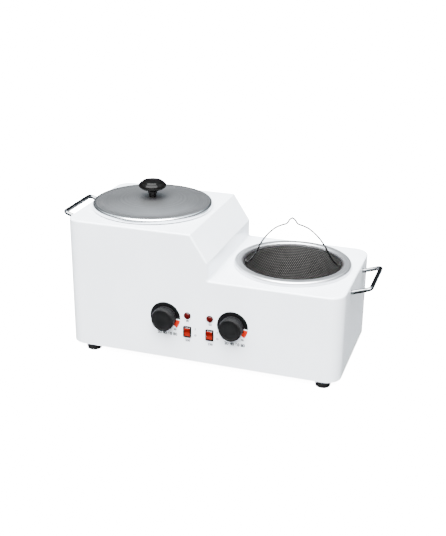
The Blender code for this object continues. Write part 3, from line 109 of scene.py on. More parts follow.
# Shader fields: one class wraps a socket, and sums or products of two add their Math nodes
class Field:
    def __init__(self, tree, out):
        self.tree = tree
        self.out = out

    def node(self, kind, settings=None, values=None, output=0):
        added = self.tree.nodes.new(kind)
        for key, value in (settings or {}).items():
            if key == "stops":
                ramp = added.color_ramp
                while len(ramp.elements) < len(value):
                    ramp.elements.new(0.5)
                for element, (place, colour) in zip(ramp.elements, value):
                    element.position = place
                    element.color = colour if len(colour) == 4 else (*colour, 1.0)
            else:
                setattr(added, key, value)
        for key, value in (values or {}).items():
            socket = added.inputs[key]
            if isinstance(value, Field):
                self.tree.links.new(value.out, socket)
            elif isinstance(value, tuple) and len(value) == 3 and socket.type == "RGBA":
                socket.default_value = (*value, 1.0)
            else:
                socket.default_value = value
        return Field(self.tree, added.outputs[output])

    def math(self, operation, first, second=0.0):
        return self.node("ShaderNodeMath", {"operation": operation}, {0: first, 1: second})

    def __add__(self, other):
        return self.math("ADD", self, other)

    def __radd__(self, other):
        return self.math("ADD", other, self)

    def __sub__(self, other):
        return self.math("SUBTRACT", self, other)

    def __rsub__(self, other):
        return self.math("SUBTRACT", other, self)

    def __mul__(self, other):
        return self.math("MULTIPLY", self, other)

    def __rmul__(self, other):
        return self.math("MULTIPLY", other, self)

    def __truediv__(self, other):
        return self.math("DIVIDE", self, other)

    def __pow__(self, other):
        return self.math("POWER", self, other)

    def between(self, low, high):
        # 0 below low, 1 above high, smooth in between
        return self.node("ShaderNodeMapRange", {"interpolation_type": "SMOOTHSTEP"},
                         {0: self, 1: low, 2: high})

    def mix(self, first, second):
        # this field is the factor between two colours
        return self.node("ShaderNodeMix", {"data_type": "RGBA"}, {0: self, 6: first, 7: second}, 2)

    def noise(self, scale, detail=2.0, roughness=0.5, stretch=(1, 1, 1)):
        placed = self.node("ShaderNodeMapping", None, {"Vector": self, "Scale": stretch})
        return self.node("ShaderNodeTexNoise", None,
                         {"Vector": placed, "Scale": scale, "Detail": detail, "Roughness": roughness})

    def axes(self):
        split = self.tree.nodes.new("ShaderNodeSeparateXYZ")
        self.tree.links.new(self.out, split.inputs[0])
        return tuple(Field(self.tree, out) for out in split.outputs)

    def moved(self, shift):
        return self.node("ShaderNodeMapping", None, {"Vector": self, "Location": shift})


def startMaterial(name):
    # an empty material and the field of its object coordinates
    material = bpy.data.materials.new(name)
    material.use_nodes = True
    tree = material.node_tree
    coords = tree.nodes.new("ShaderNodeTexCoord")
    return material, Field(tree, coords.outputs["Object"])


def finishMaterial(material, values, height=None, bump=0.3, depth=0.1 * mm):
    # puts fields and constants on the shader, and the height through a Bump node
    tree = material.node_tree
    shader = tree.nodes["Principled BSDF"]
    for key, value in values.items():
        if isinstance(value, Field):
            tree.links.new(value.out, shader.inputs[key])
        elif isinstance(value, tuple):
            shader.inputs[key].default_value = (*value, 1.0)
        else:
            shader.inputs[key].default_value = value
    if height is not None:
        normal = height.node("ShaderNodeBump", None,
                             {"Height": height, "Strength": bump, "Distance": depth})
        tree.links.new(normal.out, shader.inputs["Normal"])
    return material


paint = {"colour": (0.80, 0.835, 0.885), "shade": (0.77, 0.805, 0.855), "roughness": 0.32}


def makePaint():
    # powder coat: faint cloudiness and a fine orange peel
    material, place = startMaterial("whiteEnamel")
    cloud = place.noise(14.0, 3.0).between(0.35, 0.65)
    peel = place.noise(420.0, 2.0)
    return finishMaterial(material, {
        "Base Color": cloud.mix(paint["shade"], paint["colour"]),
        "Roughness": paint["roughness"] + 0.06 * place.noise(60.0),
        "Coat Weight": 0.35,
        "Coat Roughness": 0.12,
    }, peel, 0.12, 0.05 * mm)


spun = {"colour": (0.60, 0.605, 0.62), "light": (0.70, 0.705, 0.72), "roughness": 0.30}


def makeSpun(name, centreX, light=1.0, rim=None):
    # turned aluminium: rings about the pot's axis, fine ones in the bump and broad ones in the colour
    material, place = startMaterial(name)
    x, y, _ = place.moved((-centreX, -caseY, 0)).axes()
    radius = (x * x + y * y) ** 0.5
    fine = radius.node("ShaderNodeTexNoise", {"noise_dimensions": "1D"},
                       {"W": radius * 1400.0, "Scale": 1.0, "Detail": 2.0})
    broad = radius.node("ShaderNodeTexNoise", {"noise_dimensions": "1D"},
                        {"W": radius * 260.0, "Scale": 1.0, "Detail": 3.0})
    smudge = place.noise(24.0, 3.0)
    # light scales the whole colour down: on the lid (0.50) this is painted shade, and it makes the right pot
    # (0.95) a little darker
    dark = tuple(light * value for value in spun["colour"])
    pale = tuple(light * value for value in spun["light"])
    colour = broad.between(0.3, 0.7).mix(dark, pale)
    rough = spun["roughness"] + 0.10 * fine + 0.06 * smudge
    if rim:
        # the turned-down edge is polished smoother than the satin top, and painted brighter there as a
        # highlight
        edge = radius.between(rim - 1.5 * mm, rim)
        colour = edge.mix(colour, (0.86, 0.87, 0.89))
        rough = rough - 0.16 * edge
    return finishMaterial(material, {
        "Base Color": colour,
        "Roughness": rough,
        "Metallic": 1.0,
    }, fine, 0.25, 0.05 * mm)


def makeMetal(name, dark, pale, roughness, metallic=1.0):
    # drawn or rolled metal: a fine grain over a slow drift of the colour
    material, place = startMaterial(name)
    grain = place.noise(300.0, 3.0, 0.6)
    cloud = place.noise(30.0, 2.0)
    return finishMaterial(material, {
        "Base Color": cloud.between(0.3, 0.7).mix(dark, pale),
        "Roughness": roughness + 0.12 * grain,
        "Metallic": metallic,
    }, grain, 0.12, 0.04 * mm)


def makeZinc():
    # galvanised sheet: spangle cells of slightly different grey
    material, place = startMaterial("zincSheet")
    cell = place.node("ShaderNodeTexVoronoi", None, {"Vector": place, "Scale": 150.0})
    grain = place.noise(500.0)
    return finishMaterial(material, {
        "Base Color": cell.between(0.1, 0.6).mix((0.52, 0.53, 0.55), (0.66, 0.67, 0.69)),
        "Roughness": 0.38 + 0.2 * cell,
        "Metallic": 1.0,
    }, grain, 0.1, 0.04 * mm)


# web: the sheet's colour, painted near-black as shade; gap: the holes' colour, painted lighter as the lit
# pot seen through them
meshHoles = {"pitch": 3.8 * mm, "rowShare": 0.866, "wallR": 87.0 * mm, "hole": 0.31, "blur": 0.07,
             "web": (0.004, 0.0039, 0.0038), "gap": (0.055, 0.054, 0.052)}


def makeMesh():
    # perforated sheet: staggered round holes, laid out by arc length round the wall and by height;
    # the sheet is painted near-black as shade, and the holes are painted lighter as the lit pot seen behind
    # them
    material, place = startMaterial("meshPaintedDark")
    x, y, z = place.moved((-pots["right"]["x"], -caseY, 0)).axes()
    pitch = meshHoles["pitch"]
    turn = x.math("ARCTAN2", y, x) * (meshHoles["wallR"] / pitch)
    radius = (x * x + y * y) ** 0.5
    row = (z - radius * 0.6) / (pitch * meshHoles["rowShare"])
    odd = row.math("FLOORED_MODULO", row.math("FLOOR", row), 2.0)
    across = row.math("FRACT", turn + 0.5 * odd) - 0.5
    along = (row.math("FRACT", row) - 0.5) * meshHoles["rowShare"]
    reach = (across * across + along * along) ** 0.5
    web = reach.between(meshHoles["hole"] - meshHoles["blur"], meshHoles["hole"] + meshHoles["blur"])
    return finishMaterial(material, {
        "Base Color": web.mix(meshHoles["gap"], meshHoles["web"]),
        "Roughness": 0.70 - 0.20 * web,
        "Metallic": 0.50 + 0.30 * web,
    }, web, 0.5, 0.2 * mm)


def makePlastic(name, dark, pale, roughness, grain=900.0, bump=0.15, gloss=0.15):
    # moulded plastic or rubber: fine grain, slight colour drift
    material, place = startMaterial(name)
    drift = place.noise(70.0, 2.0)
    fine = place.noise(grain, 2.0)
    return finishMaterial(material, {
        "Base Color": drift.between(0.3, 0.7).mix(dark, pale),
        "Roughness": roughness + 0.12 * fine,
        "Specular IOR Level": gloss,
    }, fine, bump, 0.05 * mm)


def makeLens():
    # pilot lamp: dark red moulding, painted brighter at the crown as light in the lens, with faceted ribs
    # inside
    material, place = startMaterial("redLens")
    _, y, _ = place.axes()
    ribs = place.node("ShaderNodeTexVoronoi", None, {"Vector": place, "Scale": 420.0})
    # painted light: the frontmost part of the dome gets the brighter red
    crown = (0.0 - y).between(120.2 * mm, 122.6 * mm)
    return finishMaterial(material, {
        "Base Color": crown.mix((0.006, 0.0002, 0.0002), (0.035, 0.0008, 0.0006)),
        "Roughness": 0.10 + 0.15 * ribs,
        "Specular IOR Level": 0.3,
    }, ribs, 0.2, 0.1 * mm)


def makeRocker():
    # translucent rocker: orange-red, painted paler toward its pressed lower half as a highlight where that
    # half catches more light
    material, place = startMaterial("redRocker")
    _, _, z = place.axes()
    # painted highlight: the lower half gets the paler red
    lower = 1.0 - z.between(62.0 * mm, 76.0 * mm)
    fine = place.noise(260.0)
    return finishMaterial(material, {
        "Base Color": lower.mix((0.11, 0.0024, 0.0008), (0.17, 0.008, 0.003)),
        "Roughness": 0.42 + 0.10 * fine,
        "Specular IOR Level": 0.05,
    }, fine, 0.1, 0.04 * mm)


def makeWool():
    # insulation felt: matted fibres
    material, place = startMaterial("mineralWool")
    fibre = place.noise(160.0, 5.0, 0.7, (1, 1, 4))
    return finishMaterial(material, {
        "Base Color": fibre.between(0.25, 0.75).mix((0.52, 0.45, 0.30), (0.80, 0.75, 0.60)),
        "Roughness": 0.85 + 0.1 * fibre,
    }, fibre, 0.6, 0.6 * mm)


def makePrint(name, colour):
    # screen print: even ink with a slight mottle
    material, place = startMaterial(name)
    mottle = place.noise(900.0)
    pale = tuple(value * 1.15 for value in colour)
    return finishMaterial(material, {
        "Base Color": mottle.between(0.3, 0.7).mix(colour, pale),
        "Roughness": 0.45 + 0.1 * mottle,
        "Specular IOR Level": 0.1,
    }, mottle, 0.05, 0.02 * mm)


finishes = {
    "paint": makePaint(),
    "leftSpun": makeSpun("leftSpun", pots["left"]["x"]),
    "rightSpun": makeSpun("rightSpun", pots["right"]["x"], 0.95),
    # the lid's copy is painted darker as shade, and its rim gets a painted highlight
    "lidSpun": makeSpun("lidSpun", pots["left"]["x"], 0.50, 106.0 * mm),
    "zinc": makeZinc(),
    "steel": makeMetal("brightSteel", (0.50, 0.50, 0.50), (0.62, 0.62, 0.62), 0.24),
    # the bail wire is painted near-black, as shade on its steel
    "wire": makeMetal("bailWire", (0.012, 0.012, 0.012), (0.025, 0.025, 0.025), 0.30),
    # the chrome is painted dark, standing in for the dark surroundings it reflects
    "chrome": makeMetal("chromePlate", (0.13, 0.135, 0.14), (0.17, 0.175, 0.18), 0.02),
    "band": makeMetal("heaterBand", (0.40, 0.38, 0.33), (0.52, 0.50, 0.44), 0.40, metallic=0.7),
    "copper": makeMetal("copperTube", (0.60, 0.28, 0.16), (0.78, 0.42, 0.26), 0.28),
    "brass": makeMetal("turnedBrass", (0.62, 0.47, 0.20), (0.78, 0.62, 0.32), 0.25),
    "mesh": makeMesh(),
    "black": makePlastic("blackPlastic", (0.0034, 0.0034, 0.0036), (0.0052, 0.0052, 0.0054), 0.50,
                         gloss=0.08),
    "gloss": makePlastic("glossBlack", (0.0016, 0.0015, 0.0015), (0.0028, 0.0026, 0.0026), 0.08, 500.0,
                         0.03, 0.07),
    "rubber": makePlastic("blackRubber", (0.0035, 0.0035, 0.0035), (0.0065, 0.0065, 0.0065), 0.75,
                          1200.0, 0.3),
    "ceramic": makePlastic("whiteCeramic", (0.70, 0.67, 0.60), (0.80, 0.77, 0.70), 0.60, 700.0, 0.3, 0.4),
    "lens": makeLens(),
    "rocker": makeRocker(),
    "wool": makeWool(),
    "inkBlack": makePrint("inkBlack", (0.0015, 0.0015, 0.0016)),
    "inkOrange": makePrint("inkOrange", (0.32, 0.008, 0.0006)),
    "inkGrey": makePrint("inkGrey", (0.004, 0.005, 0.006)),
}
print("materials made")


# Mesh helpers
def gridFaces(rows, columns, closeRows=False, closeColumns=False):
    # quads between neighbouring rows and columns of a grid, wrapped where it closes
    row = np.arange(rows if closeRows else rows - 1)[:, None]
    column = np.arange(columns if closeColumns else columns - 1)[None, :]
    nextRow = (row + 1) % rows
    nextColumn = (column + 1) % columns
    quads = np.stack([row * columns + column, row * columns + nextColumn,
                      nextRow * columns + nextColumn, nextRow * columns + column], axis=-1)
    return quads.reshape(-1, 4)


def makePiece(name, points, faces, finish, outward=True):
    # a merged, smooth-shaded mesh piece whose faces point outwards
    mesh = bpy.data.meshes.new(name)
    mesh.from_pydata(np.asarray(points).reshape(-1, 3).tolist(), [], [list(face) for face in faces])
    work = bmesh.new()
    work.from_mesh(mesh)
    bmesh.ops.remove_doubles(work, verts=work.verts, dist=0.002 * mm)
    bmesh.ops.dissolve_degenerate(work, edges=work.edges, dist=0.001 * mm)
    if outward:
        bmesh.ops.recalc_face_normals(work, faces=work.faces)
    work.to_mesh(mesh)
    work.free()
    mesh.shade_smooth()
    mesh.set_sharp_from_angle(angle=crease)
    mesh.materials.append(finish)
    piece = bpy.data.objects.new(name, mesh)
    bpy.context.scene.collection.objects.link(piece)
    return piece


def standFor(piece, body, slot, *replaced):
    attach(piece, body)
    if replaced:
        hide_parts(*replaced)
    return piece


def weigh(piece):
    # flat faces keep flat shading next to their rounded edges
    modifier = piece.modifiers.new("evenShade", "WEIGHTED_NORMAL")
    modifier.keep_sharp = True
    modifier.weight = 100


def applyModifiers(piece):
    graph = bpy.context.evaluated_depsgraph_get()
    mesh = bpy.data.meshes.new_from_object(piece.evaluated_get(graph))
    piece.modifiers.clear()
    piece.data = mesh


def filleted(corners, steps=6):
    # a line through corners (across, up, radius), each rounded by its radius; also the side normals
    points, normals = [], []
    count = len(corners)
    for index, (across, up, radius) in enumerate(corners):
        here = np.array((across, up))
        if radius == 0 or index in (0, count - 1):
            towards = (np.array(corners[min(index + 1, count - 1)][:2])
                       - np.array(corners[max(index - 1, 0)][:2]))
            towards = towards / np.linalg.norm(towards)
            points.append(here)
            normals.append(np.array((-towards[1], towards[0])))
            continue
        before = here - np.array(corners[index - 1][:2])
        after = np.array(corners[index + 1][:2]) - here
        before, after = before / np.linalg.norm(before), after / np.linalg.norm(after)
        startAngle = math.atan2(before[1], before[0])
        bend = (math.atan2(after[1], after[0]) - startAngle + math.pi) % (2 * math.pi) - math.pi
        side = 1 if bend > 0 else -1
        start = here - before * radius * math.tan(abs(bend) / 2)
        startNormal = np.array((-before[1], before[0]))
        centre = start + side * radius * startNormal
        for angle in startAngle + np.linspace(0, bend, steps + 1):
            normal = np.array((-math.sin(angle), math.cos(angle)))
            points.append(centre - side * radius * normal)
            normals.append(normal)
    return np.array(points), np.array(normals)


def turned(profile, steps, flute=None):
    # each profile point (radius, height) carried round +Z; flute scales the radius by angle and row
    angle = np.linspace(0, 2 * np.pi, steps, endpoint=False)[:, None]
    radius = np.repeat(profile[None, :, 0], steps, axis=0)
    if flute is not None:
        radius = radius * flute(angle, profile[None, :, 1])
    height = np.repeat(profile[None, :, 1], steps, axis=0)
    return np.stack([radius * np.cos(angle), radius * np.sin(angle), height], axis=-1)


def turnedPiece(name, profile, steps, finish, place, closed=False, flute=None, facing="up"):
    grid = turned(np.asarray(profile, dtype=float), steps, flute)
    faces = gridFaces(steps, len(profile), True, closed)
    points = grid.reshape(-1, 3)
    if facing == "front":
        points = np.stack([points[:, 0], -points[:, 2], points[:, 1]], axis=-1)
    return makePiece(name, points + np.array(place), faces, finish)


def rod(path, radius, sides, plane):
    # a round section carried along a nearly flat path, held upright by the plane's normal
    path = np.asarray(path, dtype=float)
    along = np.gradient(path, axis=0)
    along /= np.linalg.norm(along, axis=1, keepdims=True)
    plane = np.asarray(plane, dtype=float)
    up = plane - (along @ plane)[:, None] * along
    up /= np.linalg.norm(up, axis=1, keepdims=True)
    out = np.cross(along, up)
    angle = np.linspace(0, 2 * np.pi, sides, endpoint=False)
    section = np.cos(angle)[None, :, None] * out[:, None, :] + np.sin(angle)[None, :, None] * up[:, None, :]
    return path[:, None, :] + np.broadcast_to(radius, (len(path),))[:, None, None] * section


def rodPiece(name, path, radius, sides, plane, finish):
    grid = rod(path, radius, sides, plane)
    rows = len(path)
    faces = gridFaces(rows, sides, False, True).tolist()
    faces.append(list(range(sides)))
    faces.append(list(range((rows - 1) * sides, rows * sides)))
    return makePiece(name, grid, faces, finish)


# Case: the top line is carried round the plan outline, with one rounded edge all the way
def topLine():
    # stations along the front edge: the deck, the crest, the slope, the step and the low deck
    edge = case["edgeR"]
    straight = case["halfWidth"] - case["cornerR"]
    corners = [
        (-straight, case["tallDeck"], 0),
        (case["slopeTopX"], case["tallDeck"], edge),
        (case["stepX"], case["slopeFoot"], edge),
        (case["stepX"], case["lowDeck"], edge),
        (straight, case["lowDeck"], 0),
    ]
    points, normals = filleted(corners, case["edgeSteps"])
    normals[0] = normals[-1] = (0, 1)
    return points, normals


def caseStations():
    # around the outline: place of the sharp edge, wall normal and top normal at each station
    line, lineNormals = topLine()
    depth, radius, steps = case["halfDepth"], case["cornerR"], case["cornerSteps"]
    straightX, straightY = case["halfWidth"] - radius, depth - radius
    places, walls, tops = [], [], []

    def addLine(side, order):
        for index in order:
            places.append((line[index][0], side * depth, line[index][1]))
            walls.append((0, side, 0))
            tops.append((lineNormals[index][0], 0, lineNormals[index][1]))

    def addCorner(centreX, centreY, start, level):
        for angle in np.radians(np.linspace(start, start + 90, steps + 1)[1:-1]):
            wall = (math.cos(angle), math.sin(angle), 0)
            places.append((centreX + radius * wall[0], centreY + radius * wall[1], level))
            walls.append(wall)
            tops.append((0, 0, 1))

    def addEnd(x, y, level):
        places.append((x, y, level))
        walls.append((math.copysign(1, x), 0, 0))
        tops.append((0, 0, 1))

    count = len(line)
    addLine(-1, range(count))
    addCorner(straightX, -straightY, -90, case["lowDeck"])
    addEnd(case["halfWidth"], -straightY, case["lowDeck"])
    addEnd(case["halfWidth"], straightY, case["lowDeck"])
    addCorner(straightX, straightY, 0, case["lowDeck"])
    addLine(1, reversed(range(count)))
    addCorner(-straightX, straightY, 90, case["tallDeck"])
    addEnd(-case["halfWidth"], straightY, case["tallDeck"])
    addEnd(-case["halfWidth"], -straightY, case["tallDeck"])
    addCorner(-straightX, -straightY, 180, case["tallDeck"])
    return np.array(places), np.array(walls, dtype=float), np.array(tops, dtype=float), count


def buildCase():
    places, walls, tops, count = caseStations()
    radius, rings = case["edgeR"], case["edgeSteps"] + 1
    swing = np.linspace(0, np.pi / 2, rings)[None, :, None]
    centres = places - radius * walls - radius * tops
    edge = centres[:, None, :] + radius * (np.cos(swing) * walls[:, None, :]
                                           + np.sin(swing) * tops[:, None, :])
    total = len(places)
    low = np.stack([places[:, 0], places[:, 1], np.full(total, case["base"])], axis=-1)
    points = np.concatenate([edge.reshape(-1, 3), low])
    faces = gridFaces(total, rings, True).tolist()
    lowStart = total * rings
    cornerCount = (total - 2 * count) // 2
    rearFirst = count + cornerCount

    def wallTop(station):
        return (station % total) * rings

    def topInner(station):
        return (station % total) * rings + rings - 1

    # walls: one face for the front and the rear, and a strip from each corner station down
    for first in (0, rearFirst):
        last = first + count - 1
        faces.append([wallTop(s) for s in range(first, last + 1)] + [lowStart + last, lowStart + first])
        for s in range(last, last + cornerCount + 1):
            faces.append([wallTop(s), wallTop(s + 1), lowStart + (s + 1) % total, lowStart + s % total])
    # decks: the flat ends as one face each, and strips from front to rear between them
    rearLast = rearFirst + count - 1
    for s in range(1, count - 2):
        faces.append([topInner(s), topInner(s + 1), topInner(rearLast - s - 1), topInner(rearLast - s)])
    faces.append([topInner(s) for s in range(count - 2, rearFirst + 2)])
    faces.append([topInner(s) for s in range(rearLast - 1, total)] + [topInner(0), topInner(1)])
    points = points + np.array((0, caseY, 0))
    shell = makePiece("caseShell", points, faces, finishes["paint"])
    if max(shell.data.polygons, key=lambda face: face.center.z).normal.z < 0:
        shell.data.flip_normals()
    wall = shell.modifiers.new("wall", "SOLIDIFY")
    wall.thickness = case["sheet"]
    wall.offset = -1
    wall.use_even_offset = True
    cutters = []
    for side, pot in pots.items():
        deck = case["tallDeck"] if side == "left" else case["lowDeck"]
        reach = 6 * mm
        ring = np.array([(0, deck - reach), (case["wellHoleR"], deck - reach),
                         (case["wellHoleR"], deck + reach), (0, deck + reach)])
        cutters.append(turnedPiece(side + "WellCut", ring, 160, finishes["paint"], (pot["x"], caseY, 0)))
    halfWide, halfHigh = (size / 2 for size in case["inletHole"])
    corners = np.array([(x, y, z) for x in (-halfWide, halfWide) for y in (-6 * mm, 6 * mm)
                        for z in (-halfHigh, halfHigh)])
    boxFaces = [(0, 1, 3, 2), (4, 6, 7, 5), (0, 4, 5, 1), (2, 3, 7, 6), (0, 2, 6, 4), (1, 5, 7, 3)]
    inletPlace = np.array((0, case["halfDepth"] + caseY, case["inletZ"]))
    cutters.append(makePiece("inletCut", corners + inletPlace, boxFaces, finishes["paint"]))
    for cutter in cutters:
        cut = shell.modifiers.new(cutter.name, "BOOLEAN")
        cut.object = cutter
        cut.operation = "DIFFERENCE"
        cut.solver = "EXACT"
    bpy.context.view_layer.update()
    applyModifiers(shell)
    for cutter in cutters:
        bpy.data.objects.remove(cutter, do_unlink=True)
    shell.data.shade_smooth()
    shell.data.set_sharp_from_angle(angle=crease)
    weigh(shell)
    standFor(shell, "case", "white_enamel", "housing_shell")


buildCase()
print("case built")


# Feet
feet = {"topR": 15.0 * mm, "bottomR": 13.0 * mm, "height": 12.7 * mm, "boreR": 5.0 * mm, "bore": 6.0 * mm,
        "screwR": 2.3 * mm}


def buildFeet():
    profile, _ = filleted([
        (feet["screwR"], feet["height"], 0), (feet["topR"], feet["height"], 0.8 * mm),
        (feet["topR"], feet["height"] - 2.5 * mm, 0.6 * mm), (feet["bottomR"], 0.6 * mm, 0),
        (feet["bottomR"] - 0.8 * mm, 0, 0), (feet["boreR"], 0, 0), (feet["boreR"], feet["bore"], 0),
        (feet["screwR"], feet["bore"], 0), (feet["screwR"], feet["height"] - 0.01 * mm, 0),
    ], 4)
    for place in ("front_left", "front_right", "rear_left", "rear_right"):
        low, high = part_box(place + "_foot")
        centre = ((low[0] + high[0]) / 2, (low[1] + high[1]) / 2, 0)
        end, side = place.split("_")
        foot = turnedPiece(end + side.capitalize() + "Foot", profile, 48, finishes["rubber"], centre, True)
        standFor(foot, "case", "black_rubber", place + "_foot")


buildFeet()
print("feet built")


# Pots: floor, wall, rolled bore edge and flange turned down to the deck
def potProfile(pot):
    shape = potShape
    sheet = shape["sheet"]
    top, floor = pot["top"], pot["floor"]
    outside = [
        (0, floor, 0), (shape["bore"], floor, shape["corner"] - sheet),
        (shape["bore"], top, shape["boreEdge"]), (shape["flange"], top, shape["flangeEdge"]),
        (shape["flange"], pot["skirt"], 0), (shape["flange"] - sheet, pot["skirt"], 0),
        (shape["flange"] - sheet, top - sheet, shape["flangeEdge"] - sheet),
        (shape["bore"] + sheet, top - sheet, shape["boreEdge"] - sheet),
        (shape["bore"] + sheet, floor - sheet, shape["corner"]), (0, floor - sheet, 0),
    ]
    return filleted(outside, 8)[0]


def buildPots():
    for side, pot in pots.items():
        piece = turnedPiece(side + "WaxPot", potProfile(pot), potShape["steps"], finishes[side + "Spun"],
                            (pot["x"], caseY, 0))
        standFor(piece, side + "_pot", "spun_aluminium", side + "_pot")


buildPots()
print("pots built")


# Lid and knob
lid = {"radius": 111.0 * mm, "skirt": 256.5 * mm, "rim": 265.0 * mm, "dome": 8.0 * mm, "sheet": 1.2 * mm,
       "shift": 1.5 * mm, "domeR": 95.0 * mm, "edge": 4.0 * mm, "holeR": 2.5 * mm, "steps": 192}
lidKnob = {"foot": 273.3 * mm, "flutes": 10, "depth": 0.05, "steps": 120}


def buildLid():
    radii = np.linspace(lid["holeR"], lid["domeR"], 14)
    rise = lid["dome"] * (1 - (radii / lid["domeR"]) ** 2)
    upper = np.stack([radii, lid["rim"] + rise], axis=-1)
    under = np.stack([radii, lid["rim"] - lid["sheet"] + rise], axis=-1)[::-1]
    radius, sheet = lid["radius"], lid["sheet"]
    outerEdge = filleted([
        (lid["domeR"] + 0.5 * mm, lid["rim"], 0), (radius, lid["rim"], lid["edge"]),
        (radius, lid["skirt"], 0), (radius - sheet, lid["skirt"], 0),
        (radius - sheet, lid["rim"] - sheet, lid["edge"] - sheet),
        (lid["domeR"] + 0.5 * mm, lid["rim"] - sheet, 0),
    ], 8)[0]
    profile = np.concatenate([upper, outerEdge, under])
    piece = turnedPiece("potLid", profile, lid["steps"], finishes["lidSpun"],
                        (pots["left"]["x"] - lid["shift"], caseY, 0), True)
    standFor(piece, "lid", "spun_aluminium", "lid")


def buildLidKnob():
    foot = lidKnob["foot"]
    profile = filleted([
        (2.5 * mm, 9.3 * mm, 0), (2.5 * mm, 0, 0), (6.5 * mm, 0, 0.6 * mm), (7.2 * mm, 5 * mm, 8 * mm),
        (9.8 * mm, 12 * mm, 4 * mm), (14.5 * mm, 13.8 * mm, 3 * mm), (21.5 * mm, 15.8 * mm, 3 * mm),
        (25.4 * mm, 19.5 * mm, 2 * mm), (26 * mm, 23.0 * mm, 2 * mm), (22.5 * mm, 27.0 * mm, 1.5 * mm),
        (20.6 * mm, 26.8 * mm, 0.5 * mm), (18.4 * mm, 30.0 * mm, 0.6 * mm),
        (15.8 * mm, 29.9 * mm, 0.4 * mm), (14.8 * mm, 28.6 * mm, 0.4 * mm), (0, 28.9 * mm, 0),
    ], 5)[0]

    def flute(angle, height):
        # shallow vertical grooves on the stem, fading out under the cap
        fade = np.clip((14.0 * mm - height) / (5.0 * mm), 0, 1) * (height > 0.2 * mm)
        return 1 - lidKnob["depth"] * fade * (1 + np.cos(lidKnob["flutes"] * angle))

    piece = turnedPiece("lidGrip", profile, lidKnob["steps"], finishes["gloss"],
                        (pots["left"]["x"] - lid["shift"], caseY, foot), False, flute)
    standFor(piece, "lid", "black_plastic", "lid_knob")


buildLid()
buildLidKnob()
print("lid built")


# Strainer basket and its bail
basket = {"radius": 87.0 * mm, "sheet": 0.9 * mm, "floor": 52.3 * mm, "rim": 178.0 * mm, "corner": 16.0 * mm,
          "beadR": 1.6 * mm, "steps": 192}
bail = {"wireR": 1.5 * mm, "lean": 4.0 * mm, "span": 80.0 * mm, "height": 87.0 * mm, "tip": 85.5 * mm,
        "pivotZ": 175.5 * mm, "turn": 13.0, "between": 6, "sides": 14,
        "shares": [(1.0, 0.0), (0.93, 0.07), (0.87, 0.15), (0.80, 0.27), (0.72, 0.415), (0.58, 0.60),
                   (0.39, 0.765), (0.24, 0.835), (0.125, 0.875), (0.06, 0.958), (0.0, 1.0)]}


def buildBasket():
    radius, sheet, floor, rim = basket["radius"], basket["sheet"], basket["floor"], basket["rim"]
    bead = basket["beadR"]
    centre = np.array((radius + bead / 2, rim - bead))
    wallIn = filleted([(0, floor + sheet, 0), (radius - sheet, floor + sheet, basket["corner"] - sheet),
                       (radius - sheet, rim - bead, 0)], 8)[0]
    angle = np.radians(np.linspace(150, -90, 14))
    roll = centre + bead * np.stack([np.cos(angle), np.sin(angle)], axis=-1)
    wallOut = filleted([(radius, centre[1] - bead, 0), (radius, floor, basket["corner"]),
                        (0, floor, 0)], 8)[0]
    mesh = turnedPiece("strainerWall", np.concatenate([wallIn, roll, wallOut]), basket["steps"],
                       finishes["mesh"], (pots["right"]["x"], caseY, 0))
    standFor(mesh, "basket", "dark_mesh", "strainer_basket")


def smoothLine(points, between):
    # a Catmull-Rom line through the points: each gap is the cubic that its neighbours give
    points = np.asarray(points, dtype=float)
    padded = np.concatenate([points[:1], points, points[-1:]])
    a, b, c, d = (padded[k:len(points) - 1 + k][:, None, :] for k in range(4))
    t = np.linspace(0, 1, between, endpoint=False)[None, :, None]
    line = (b + t * (c - a) / 2 + t * t * (a - 5 * b / 2 + 2 * c - d / 2)
            + t ** 3 * (3 * b - a - 3 * c + d) / 2)
    return np.concatenate([line.reshape(-1, points.shape[1]), points[-1:]])


def buildBail():
    half = np.array([(bail["span"] * across, bail["height"] * up) for across, up in bail["shares"]])
    right = smoothLine(half, bail["between"])
    left = right[-2::-1] * np.array((-1, 1))
    flat = np.concatenate([[(bail["tip"], 0)], [(bail["span"] + 0.8 * mm, 0)], right[1:],
                           left[:-1], [(-bail["span"] - 0.8 * mm, 0)], [(-bail["tip"], 0)]])
    flat[:, 0] -= bail["lean"] * flat[:, 1] / bail["height"]
    turn = math.radians(bail["turn"])
    path = np.stack([pots["right"]["x"] + flat[:, 0] * math.cos(turn), caseY + flat[:, 0] * math.sin(turn),
                     bail["pivotZ"] + flat[:, 1]], axis=-1)
    piece = rodPiece("bailWire", path, bail["wireR"], bail["sides"], (math.sin(turn), -math.cos(turn), 0),
                     finishes["wire"])
    standFor(piece, "bail", "steel", "bail_handle")


buildBasket()
buildBail()
print("basket built")


# Side handles
handles = {"rodR": 4.0 * mm, "half": 53.0 * mm, "reach": 34.2 * mm, "forward": 5.0 * mm, "stub": 3.0 * mm,
           "tilt": 18.0, "bendR": 6.5 * mm, "gap": 0.3 * mm, "sides": 32,
           "rootZ": {"left": 233.0 * mm, "right": 160.0 * mm}}


def buildHandles():
    corners = [(handles["gap"], handles["half"], 0), (handles["stub"], handles["half"], 0),
               (handles["reach"], handles["half"], handles["bendR"]),
               (handles["reach"], 0, 0)]
    half = filleted(corners, 14)[0]
    plan = np.concatenate([half, (half * np.array((1, -1)))[-2::-1]])
    rise = math.tan(math.radians(handles["tilt"]))
    lift = np.maximum(plan[:, 0] - handles["stub"], 0) * rise
    for side, sign in (("left", -1), ("right", 1)):
        path = np.stack([sign * (case["halfWidth"] + plan[:, 0]), caseY - handles["forward"] + plan[:, 1],
                         handles["rootZ"][side] + lift], axis=-1)
        piece = rodPiece(side + "GripRod", path, handles["rodR"], handles["sides"],
                         (-sign * rise, 0, 1), finishes["chrome"])
        standFor(piece, "case", "chrome", side + "_side_handle")


buildHandles()
print("handles built")


